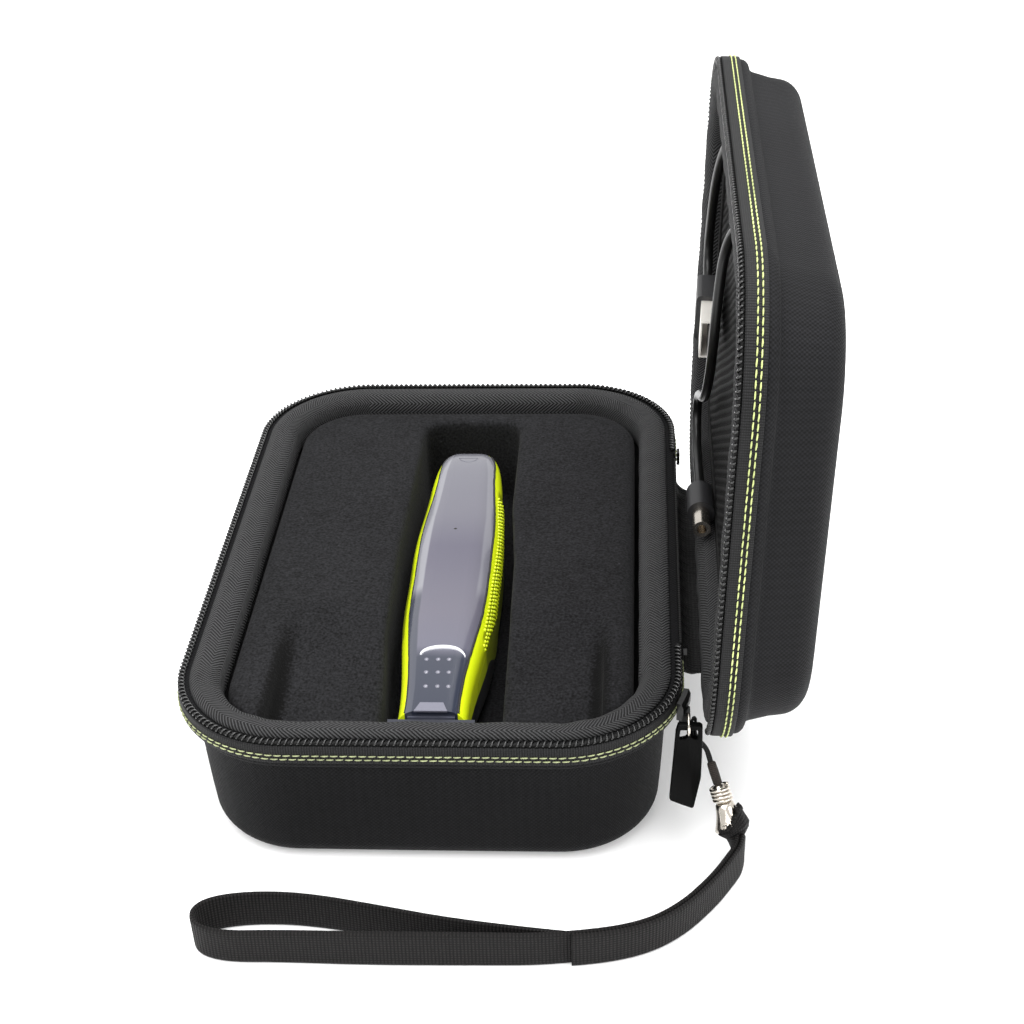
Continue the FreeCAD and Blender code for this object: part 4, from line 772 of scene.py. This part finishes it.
bell = [(0.0, 1.2), (0.05, 2.0), (0.5, 2.5), (1.6, 2.75), (3.2, 3.1), (5.0, 3.75), (6.6, 4.45), (7.3, 4.75),
        (7.5, 4.7), (7.3, 4.2), (6.4, 3.75), (4.8, 3.05), (2.6, 2.4), (1.0, 1.9), (0.7, 1.2)]
outward(piece("lanyard_bell", lathe(CORE_END, bell, 44), "nickel", "strap", replaces=("lanyard_clasp",),
              slot="nickel"))


def folded_end():
    """Webbing from inside the bell down to where it stands on its edge, with frayed threads."""
    start, end = CORE_END + WAY * 2.6, Vector(STRAP_START)
    sections = []
    steps = 16
    for i in range(steps + 1):
        t = i / steps
        e = ease(t)
        middle = start.lerp(end, t) + Vector((0, 0, -0.5)) * sin(pi * t)
        way = (WAY * (1 - e) + Vector((0, -1, 0)) * e).normalized()
        across, up = frame_on(way)
        if up.z < 0:
            up = -up
        bunch = exp(-((t - 0.36) / 0.2) ** 2)
        half_t, half_h = 1.25 + 0.12 * e + 1.5 * bunch, 1.9 + 3.55 * ease(t * 1.25) + 0.5 * bunch
        bottom, top = -half_h, half_h
        if (middle + up * bottom).z < 0.25:
            bottom = (0.25 - middle.z) / max(0.3, up.z)
        row = []
        for sx, ks in ((1, (0.0, 0.12, 0.5, 0.88, 1.0)), (-1, (1.0, 0.88, 0.5, 0.12, 0.0))):
            for k in ks:
                edge = 0.55 if k in (0.0, 1.0) else 1.0
                bulge = 1 + 0.1 * sin(5 * t + 3 * k)
                row.append(middle + across * (sx * half_t * edge * bulge)
                           + up * (bottom + (top - bottom) * k))
        sections.append(row)
    verts = [p for row in sections for p in row]
    parts = [loft(verts, len(sections[0]), lambda i, k: (i * 0.75, k * 2.2), (1, 1))]
    for _ in range(26):
        row = random.randint(5, 14)
        corner = random.choice((3, 4, 5, 6))
        root = sections[row][corner]
        tip = root + Vector((random.uniform(-0.9, 0.9), random.uniform(-1.1, 0.6), random.uniform(0.3, 1.5)))
        bend = root.lerp(tip, 0.5) + Vector((random.uniform(-0.4, 0.4), 0, random.uniform(0, 0.4)))
        parts.append(tube_mesh([root, bend, tip], 0.09, 5))
    return join(parts)


def flap():
    """Raw end of the webbing lapped over the bell's mouth on its outer side."""
    rows, columns, verts = 9, 22, []
    goal = Vector((85.4, -94.2, 6.6))
    for i in range(rows):
        t = i / (rows - 1)
        for k in range(columns):
            b = k / (columns - 1)
            a = radians(-140 + 200 * b)
            upper = 7.3 - 4.4 * ease(1 - abs(b - 0.64) / 0.62) + 0.25 * sin(9 * b)
            long = upper + (9.4 - upper) * t
            radius = 5.15 - 0.27 * max(0.0, 7.4 - long) - 0.95 * max(0.0, long - 7.6)
            radius += 0.12 * sin(7 * a + 2 * t)
            point = around(CORE_END + WAY * long, side_axis, other_axis, radius, a)
            point = point.lerp(goal, 0.35 * ease((t - 0.6) / 0.4))
            point.z = max(point.z, 0.35)
            verts.append(point)
    parts = [loft(verts, columns, lambda i, k: (0.8 * i, 0.9 * k), wrap=False, flip=True)]
    for k in range(1, columns - 1):
        root = verts[k]
        for _ in range(2):
            tip = root - WAY * random.uniform(0.5, 1.4) + side_axis * random.uniform(-0.5, 0.5)
            bend = root.lerp(tip, 0.5) + other_axis * random.uniform(-0.2, 0.3)
            parts.append(tube_mesh([root, bend, tip], 0.08, 5))
    return join(parts)


lap = piece("strap_flap", flap(), "webbing", "strap", slot="strap_webbing")
bake(lap, "SOLIDIFY", thickness=0.00035, offset=1.0)
wrap = outward(piece("strap_fold", folded_end(), "webbing", "strap", replaces=("strap_end_wrap",),
                     slot="strap_webbing"))


# --- the two halves

def shell_profile(side):
    """Closed section of the moulded shell: (inset, height), from the underside round to the inner floor."""
    rim = RIM[side]
    out = [(30.0, 0.0), (19.0, 0.0)]
    out += fillet(14.0, 7.5, 7.5, -90, -8, 9)
    wall_top = rim - 8.5
    out += [(6.35 - 1.7 * k, 9.0 + (wall_top - 10.5) * k) for k in (0.15, 0.4, 0.7, 1.0)]
    out += [(4.4, wall_top - 0.9), (3.9, wall_top - 0.2)]
    out += fillet(3.3, wall_top + 2.5, 2.5, -75, 0, 5)
    out += [(0.8, rim - 3.0), (0.8, rim - 0.4), (1.1, rim), (5.0, rim), (9.7, rim), (10.0, rim - 0.4)]
    out += [(10.0, rim - 8.0), (10.0, 9.0)]
    out += fillet(14.0, 7.5, 4.0, 0, -90, 4)
    return out + [(30.0, 3.5)]


def floor_caps(obj, side):
    """Closes the middle of a swept shell on its underside and inner floor."""
    back = PLACE[side].inverted()

    def fill(mesh):
        layer = mesh.loops.layers.uv.active
        for face in fill_holes(mesh):
            face.smooth = True
            for loop in face.loops:
                loop[layer].uv = (back @ (loop.vert.co / MM)).xy

    outward(obj, fill)


def over_rim(rim, *pairs):
    return [(inset, rim + z) for inset, z in pairs]


LID_COIL_SHORTER, STITCH = 33.5, 2.5
for half in ("base", "lid"):
    rim = RIM[half]

    def bulge(s, k, d, z, half=half):
        """Straight sides of the moulded shell swell a little."""
        if 2.0 < z < RIM[half] - 8 and d < 13:
            p, normal = outline(s, half)
            straight = abs(normal.x) > 0.999 or abs(normal.y) > 0.999
            span = STRAIGHT_Y if abs(normal.x) > 0.7 else STRAIGHT_X
            t = (p.y if abs(normal.x) > 0.7 else p.x) / (span + 8)
            swell = max(0.0, 1 - t * t) if straight else max(0.0, 1 - (span / (span + 8)) ** 2)
            d -= 0.9 * swell * sin(pi * min(1, z / (RIM[half] - 6)))
        return d, z

    shell = sweep(f"{half}_shell_cloth", half, shell_profile(half), f"{half}_shell", closed=False,
                  shape=bulge, step=5.0, replaces=(f"{half}_shell",), slot="shell_fabric")
    floor_caps(shell, half)

    # Lining: thin tub
    top = rim - 9.1
    inner = [(10.1, top), (10.1, 8.0)] + fillet(14.1, 7.6, 4.0, 0, -90, 5) + [(31.0, 3.6)]
    outer = [(31.0, 4.35)] + fillet(14.2, 7.7, 3.3, -90, 0, 5) + [(10.9, 8.2), (10.9, top)]
    tub = sweep(f"{half}_lining_cloth", half, inner + outer, "lining", replaces=(f"{half}_lining",),
                slot="lining_fabric")
    floor_caps(tub, half)
    square = [(-40, -72), (40, -72), (40, 72), (-40, 72)]
    piece(f"{half}_lining_floor", ([(x, y, 4.35) for x, y in square], [(0, 1, 2, 3)], [square]), "lining",
          half, PLACE[half], slot="lining_fabric")

    # Binding: padded roll over the rim and down inside
    roll = over_rim(rim, (3.3, 0.02), (3.25, 0.55), (3.7, 1.15), (4.8, 1.5), (6.4, 1.62), (8.0, 1.5),
                    (9.6, 1.05), (10.9, 0.2), (11.7, -1.1), (12.05, -2.8), (12.1, -5.0), (12.0, -7.4),
                    (11.6, -8.7), (11.0, -9.0), (10.3, -8.8), (10.15, -6.0), (10.15, -0.3), (9.6, 0.02))

    def soft(s, k, d, z):
        lift = 0.10 * sin(s / 3.7 + 0.8 * sin(s / 9.1)) + 0.08 * sin(s / 1.9)
        if 3 <= k <= 10:
            z += lift
            d += 0.6 * lift
        return d, z

    bind = sweep(f"{half}_binding_cloth", half, roll, "binding", shape=soft, step=1.6,
                 replaces=(f"{half}_binding",), slot="binding_twill")
    outward(bind)

    # Zipper tape, coil and stitching, open along the hinge
    gap_start, gap_end = ZIP_END, PERIMETER - ZIP_END
    tape = over_rim(rim, (0.78, -5.5), (0.12, -5.55), (-0.02, -5.3), (0.02, -3.0), (0.0, -0.6), (0.08, -0.1),
                    (0.78, -0.02))
    outward(sweep(f"{half}_tape_cloth", half, tape, "tape", gap_start, gap_end,
                  replaces=(f"{half}_zip_tape",), slot="zip_tape"))
    coil_stop = gap_end - (LID_COIL_SHORTER if half == "lid" else 0)
    pitch, line = 1.7, []
    for i in range(int((coil_stop - gap_start) / pitch) * 12 + 1):
        a = 2 * pi * i / 12
        p, normal = outline(gap_start + i * pitch / 12, half)
        q = p - normal * (1.12 - 0.80 * cos(a))
        line.append(Vector((q.x, q.y, rim + 0.82 + 0.5 * sin(a))))
    piece(f"{half}_coil_turns", tube_mesh(line, 0.31, 6), "coil", half, PLACE[half],
          replaces=(f"{half}_zip_teeth",), slot="zip_coil")
    core = over_rim(rim, (0.7, 0.05), (0.55, 0.6), (0.8, 0.95), (1.45, 0.95), (1.7, 0.6), (1.55, 0.05))
    outward(sweep(f"{half}_coil_core", half, core, "coil_core", gap_start, coil_stop, slot="zip_coil"))
    parts = []
    for row in (-0.6, 0.6):
        s = gap_start + 1.0 + (0.8 if row > 0 else 0)
        while s < gap_end - STITCH:
            dash = []
            for k in range(5):
                p, normal = outline(s + 2.0 * k / 4, half)
                q = p + normal * (0.02 + 0.19 * sin(pi * (0.12 + 0.76 * k / 4)))
                z = rim - 3.5 + row + 0.10 * (k / 4 - 0.5) + random.uniform(-0.03, 0.03)
                dash.append(Vector((q.x, q.y, z)))
            parts.append(tube_mesh(dash, [0.13, 0.2, 0.22, 0.2, 0.13], 6))
            s += STITCH + random.uniform(-0.06, 0.06)
    # The base's stitches take the darker copy of the lime thread: painted shade.
    piece(f"{half}_stitch_rows", join(parts), "thread" if half == "base" else "thread_lime", half,
          PLACE[half], replaces=(f"{half}_stitches",), slot="stitch_thread")


# --- tray

def tray():
    source = NODES["tray_insert"]
    mesh = source.data.copy()
    mesh.name = "tray_cloth"
    obj = new_object("tray_cloth", mesh)
    bake(obj, "WELD", merge_threshold=1e-6)
    bake(obj, "REMESH", mode="VOXEL", voxel_size=0.0013, use_smooth_shade=True)
    bake(obj, "SMOOTH", factor=0.6, iterations=6)
    obj.data.materials.clear()
    obj.data.materials.append(M["tray"])
    smooth(obj)
    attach(obj, "base")
    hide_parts("tray_insert")


tray()


# --- shaver details

def tree_of(node):
    mesh = NODES[node].data
    return BVHTree.FromPolygons([v.co.copy() for v in mesh.vertices],
                                [tuple(p.vertices) for p in mesh.polygons])


def dome(centre, normal, radius, height, rings=3, sides=10):
    """Small raised or sunk bump on a surface."""
    side = normal.orthogonal().normalized()
    other = normal.cross(side)
    verts = []
    for i in range(rings + 1):
        a = pi / 2 * i / rings
        for k in range(sides):
            w = 2 * pi * k / sides
            verts.append(centre + (side * cos(w) + other * sin(w)) * (radius * cos(a))
                         + normal * (height * sin(a) - 0.04))
    return loft(verts, sides, lambda i, k: (0.0, 0.0), flip=True)


def drop(tree, x, y):
    """Where a line straight down from 60 mm up at (x, y) meets a surface, with its normal, or None."""
    hit, normal, _, _ = tree.ray_cast(Vector((x, y, 60)) * MM, Vector((0, 0, -1)), 0.06)
    return None if hit is None else (hit / MM, normal)


def drops(tree, places):
    """Drops at those of the places that are over the surface."""
    return [found for found in (drop(tree, x, y) for x, y in places) if found]


HANDLE = [(-79.5, 9.7), (-67.9, 9.9), (-53.3, 11.1), (-35.9, 12.8), (-9.7, 13.5), (19.4, 13.2), (48.5, 11.3),
          (60.9, 9.2), (66.0, 7.0)]


def half_width(y):
    for (y0, w0), (y1, w1) in zip(HANDLE, HANDLE[1:]):
        if y <= y1:
            return w0 + (w1 - w0) * (y - y0) / (y1 - y0)
    return HANDLE[-1][1]


def shaver_details():
    panel, sides, body = tree_of("shaver_back_panel"), tree_of("shaver_side_grips"), tree_of("shaver_body")
    bumps = []
    for way in (1, -1):
        for step in range(42):
            y = -43.5 + 1.95 * step
            shoulder = Vector((SHAVER_X + way * (half_width(y) - 8.4), y, 33.8))
            for angle in (28, 18, 8, -2, -13, -24):
                if angle < 0 and y < -34 - 0.5 * angle or angle == 28 and y < -38 or way < 0 and angle > -5:
                    continue
                a = radians(angle)
                way_in = Vector((-way * cos(a), 0, -sin(a)))
                for tree in (sides, body):
                    hit, normal, _, _ = tree.ray_cast((shoulder - way_in * 20) * MM, way_in, 0.02)
                    if hit is not None and normal.dot(way_in) < -0.5:
                        bumps.append(dome(hit / MM, normal, 0.56, 0.5))
                        break
    piece("grip_bumps", join(bumps), "grip_top", "shaver", slot="grip_rubber")
    grid = [(SHAVER_X + x + shift, y) for y, shift in ((-57.4, 0.1), (-63.0, 0.5), (-69.0, 0.9))
            for x in (-3.3, 0.0, 3.1)]
    dots = [dome(*found, 0.72, 0.34, 3, 14) for found in drops(panel, grid)]
    made = [("panel_dots", join(dots), "latch")]
    # A pale tube along the bend of the panel: a painted highlight.
    arch = [(SHAVER_X + (1.2 + 6.3 * cos(radians(180 - a))), -55.4 + 3.4 * sin(radians(a)))
            for a in [180 * k / 24 for k in range(25)]]
    line = [hit + normal * 0.02 for hit, normal in drops(panel, arch)]
    taper = [0.12 + 0.62 * sin(pi * min(1.0, (i + 2) / (len(line) + 1))) for i in range(len(line))]
    made.append(("panel_painted_highlight", tube_mesh(line, taper, 8), "painted_highlight"))
    for way, side, radius in ((1, "right", 0.38), (-1, "left", 0.2)):
        line = []
        for k in range(73):
            y = -78.9 + 143.4 * k / 72
            places = (SHAVER_X + way * (2.0 + 0.1 * i) for i in range(120))
            edge = next((x for x in places if not drop(panel, x, y)), None)
            found = None if edge is None else drop(body, edge + way * 0.12, y)
            if found and (not line or (found[0] - line[-1]).length < 6):
                line.append(found[0] + found[1] * 0.02)
        if len(line) > 4:
            made.append((f"panel_seam_{side}", tube_mesh(line, radius, 8), "seam"))
    # A flat black disc on the panel for the small hole: painted shade of its inside.
    for found in drops(panel, [(SHAVER_X - 0.6, 10.5)]):
        made.append(("panel_pin_hole_shade", dome(*found, 1.0, 0.05, 2, 16), "seam"))
    mark = [(-3.2, 56.4), (3.2, 56.4), (2.4, 54.6), (0.6, 53.6), (-0.6, 53.6), (-2.4, 54.6), (-3.2, 56.4)]
    mark = [hit for hit, _ in drops(panel, [(SHAVER_X + x, y) for x, y in mark])]
    made.append(("panel_moulded_mark", tube_mesh(mark, 0.1, 6), "slate"))
    for name, parts, finish in made:
        piece(name, parts, finish, "shaver", slot="shaver_grey")


shaver_details()


# --- pull tab

def pull_tab():
    x0, y0, z0 = 71.3, -84.0, 39.3
    outer = [(-2.9, 0.9), (2.9, 0.9), (3.7, 0.3), (3.75, -3.0), (3.7, -6.3), (3.65, -12.0), (3.55, -17.0),
             (2.6, -22.5), (1.75, -27.3), (1.3, -27.8), (-1.6, -26.6), (-4.7, -25.1), (-5.0, -24.3),
             (-4.6, -18.5), (-4.1, -11.0), (-3.5, -1.5)]
    window = [(-2.0, -0.7), (2.2, -0.7), (2.5, -0.9), (2.5, -2.0), (2.5, -3.2), (2.4, -3.9), (1.3, -3.6),
              (0.7, -3.1), (0.2, -2.7), (-0.3, -3.0), (-0.9, -3.7), (-2.2, -4.1), (-2.5, -3.6), (-2.4, -2.6),
              (-2.3, -1.6), (-2.2, -0.9)]
    verts = [(x0 + x, y0 + y, z0 + z) for y in (-1.0, 1.0) for loop in (outer, window) for x, z in loop]
    n, faces = len(outer), []
    for k in range(n):
        m = (k + 1) % n
        faces += [(k, m, n + m, n + k), (2 * n + k, 3 * n + k, 3 * n + m, 2 * n + m),
                  (k, 2 * n + k, 2 * n + m, m), (n + k, n + m, 3 * n + m, 3 * n + k)]
    obj = piece("pull_tab_moulded", (verts, faces, None), "black", "pull_tab", replaces=("pull_tab",),
                slot="tab_black")
    outward(obj)
    bake(obj, "BEVEL", width=0.00045, segments=3, limit_method="ANGLE", angle_limit=0.7)
    smooth(obj)


pull_tab()


# --- net, hem, gusset

NET_Z = 20.1


def net():
    """Knotless net with six-sided holes, stretched from the hinge side to the hem."""
    edge = 12.3
    half_x, half_y, corner = WIDTH / 2 - edge, LENGTH / 2 - edge, CORNER - edge
    pitch = 3.0
    rise = pitch * sqrt(3) / 2
    verts, faces, uvs, index = [], [], [], {}

    def inside(x, y, slack):
        if not (-half_x - slack <= x <= 30.4 and abs(y) <= half_y + slack):
            return False
        dx, dy = max(0.0, -x - (half_x - corner)), max(0.0, abs(y) - (half_y - corner))
        return hypot(dx, dy) <= corner + slack

    def height(x, y):
        ripple = 0.35 * sin(x / 9.0 + 0.6) * cos(y / 14.0)
        sag = -0.55 * exp(-((x - 8) ** 2) / 900.0)
        return NET_Z + ripple + sag

    def vert(x, y):
        key = (round(x, 3), round(y, 3))
        if key not in index:
            index[key] = len(verts)
            verts.append((x, y, height(x, y)))
        return index[key]

    rows = int(2 * half_y / rise) + 2
    cols = int((half_x + 31) / pitch) + 2
    radius = pitch / sqrt(3)
    for j in range(rows):
        cy = -half_y + j * rise
        for i in range(cols):
            cx = -half_x + i * pitch + (pitch / 2 if j % 2 else 0)
            if not inside(cx, cy, -0.6):
                continue
            hexagon = [(cx + radius * cos(radians(30 + 60 * k)),
                        cy + radius * sin(radians(30 + 60 * k))) for k in range(6)]
            rim_ids = [vert(*p) for p in hexagon]
            hole = [len(verts) + k for k in range(6)]
            for k in range(6):
                x, y = cx + (hexagon[k][0] - cx) * 0.56, cy + (hexagon[k][1] - cy) * 0.56
                verts.append((x, y, height(x, y)))
            for k in range(6):
                m = (k + 1) % 6
                face = (rim_ids[k], rim_ids[m], hole[m], hole[k])
                faces.append(face)
                uvs.append([(verts[a][0], verts[a][1]) for a in face])
    obj = piece("pocket_net_cloth", (verts, faces, uvs), "net", "lid", LID, replaces=("mesh_pocket",),
                slot="pocket_net")
    bake(obj, "SOLIDIFY", thickness=0.0006, offset=0.0)
    return obj, (half_x + 30.0, 2 * half_y)


net_obj, net_flat = net()


def net_border():
    """Plain tape sewn round the net's edge."""
    edge = 12.35
    profile = [(edge, 20.8), (edge + 0.1, 21.0), (edge + 3.4, 20.9), (edge + 3.6, 20.6), (edge + 3.4, 19.4),
               (edge + 0.1, 19.3)]
    reach = STRAIGHT_Y + ARC + STRAIGHT_X + 30.0
    outward(sweep("net_border", "lid", profile, "hem", PERIMETER - reach + 1.5, PERIMETER + reach - 1.5,
                  slot="hem_elastic"))


net_border()


def hem():
    """Elastic knit band at the pocket's mouth, drawn in slightly between its ends."""
    section = [(-2.4, -0.35), (-2.5, 0.0), (-2.35, 0.5), (-1.6, 0.8), (-0.6, 0.72), (0.6, 0.72), (1.6, 0.8),
               (2.35, 0.5), (2.5, 0.0), (2.35, -0.5), (1.6, -0.8), (0.0, -0.72), (-1.6, -0.8)]
    verts, steps, half = [], 180, 88.9
    for i in range(steps + 1):
        y = -half + 2 * half * i / steps
        draw = -0.9 * (1 - (y / half) ** 2)
        ripple = 0.12 * sin(y / 1.3)
        for x, z in section:
            verts.append((32.5 + draw + x, y, NET_Z + z + ripple * (1 if z > 0 else -1)))
    step = 2 * half / steps
    band = loft(verts, len(section), lambda i, k: (i * step, k * 0.9), (1, 1), flip=True)
    return outward(piece("hem_band", band, "hem", "lid", LID, replaces=("pocket_hem",), slot="hem_elastic"))


hem_obj = hem()


def gusset():
    """Hinge fabric: sewn on the base's band, folded, and under the lid's band."""
    x0, thick, bend, low = 69.2, 0.8, 4.9, 31.9
    line = [(x0 + 0.4, 44.3), (x0 + 0.4, 41.8), (x0 + 0.4, 39.4), (x0 + 0.4, 37.2)]
    line += [(x0 + 0.4 + bend - bend * cos(a), 37.2 - bend * sin(a))
             for a in [radians(90 * k / 10) for k in range(1, 11)]]
    line += [(76.5, low + 0.4), (78.5, low + 0.4), (80.2, low + 0.4), (81.5, low + 0.4)]
    n, reach, verts, steps, half = len(line), reach_of(line), [], 160, 51.9
    for i in range(steps + 1):
        along = 2 * i / steps - 1
        for k, (x, z) in enumerate(line):
            y = along * (half - 3.2 * (k / (n - 1)) ** 2)
            free = 0.0
            if 6.0 < reach[k] < reach[-1] - 3.0:
                free = max(0.0, sin(pi * (reach[k] - 6.0) / (reach[-1] - 9.0)))
            (xa, za), (xb, zb) = line[max(k - 1, 0)], line[min(k + 1, n - 1)]
            run = hypot(xb - xa, zb - za)
            pucker = free * (0.16 * sin(1.05 * y + 1.7 * sin(0.23 * y)) + 0.07 * sin(2.9 * y + 1.1 * k))
            verts.append((x - (zb - za) / run * pucker, y, z + (xb - xa) / run * pucker))
    cloth = loft(verts, n, lambda i, k: (verts[i * n + k][1] + half, reach[k]), wrap=False)
    obj = piece("hinge_fabric", cloth, "gusset", None, replaces=("hinge_gusset",), slot="gusset_fabric")
    bake(obj, "SOLIDIFY", thickness=thick * MM, offset=0.0)
    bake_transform(obj)


gusset()


# --- floor, light

def stage():
    far = 3000
    floor = piece("floor",
                  ([(-far, -far, 0), (far, -far, 0), (far, far, 0), (-far, far, 0)], [(0, 1, 2, 3)], None),
                  "floor", None)
    world = bpy.data.worlds.new("studio")
    bpy.context.scene.world = world
    world.use_nodes = True
    back = world.node_tree.nodes["Background"]
    back.inputs[0].default_value = (1, 1, 1, 1)
    back.inputs[1].default_value = 0.9
    lights = [("key", (-0.35, -0.55, 0.95), 0.9, 11.0), ("fill", (0.9, -0.7, 0.6), 0.7, 6.0),
              ("top", (0.25, 0.2, 1.15), 0.9, 19.0)]
    for name, place, size, power in lights:
        data = bpy.data.lights.new(name, "AREA")
        data.shape, data.size, data.energy = "SQUARE", size, power
        lamp = new_object(name, data)
        lamp.location = place
        aim = Vector((0.03, -0.02, 0.05)) - Vector(place)
        lamp.rotation_euler = aim.to_track_quat("-Z", "Y").to_euler()
    bpy.context.scene.view_settings.view_transform = "Standard"


stage()
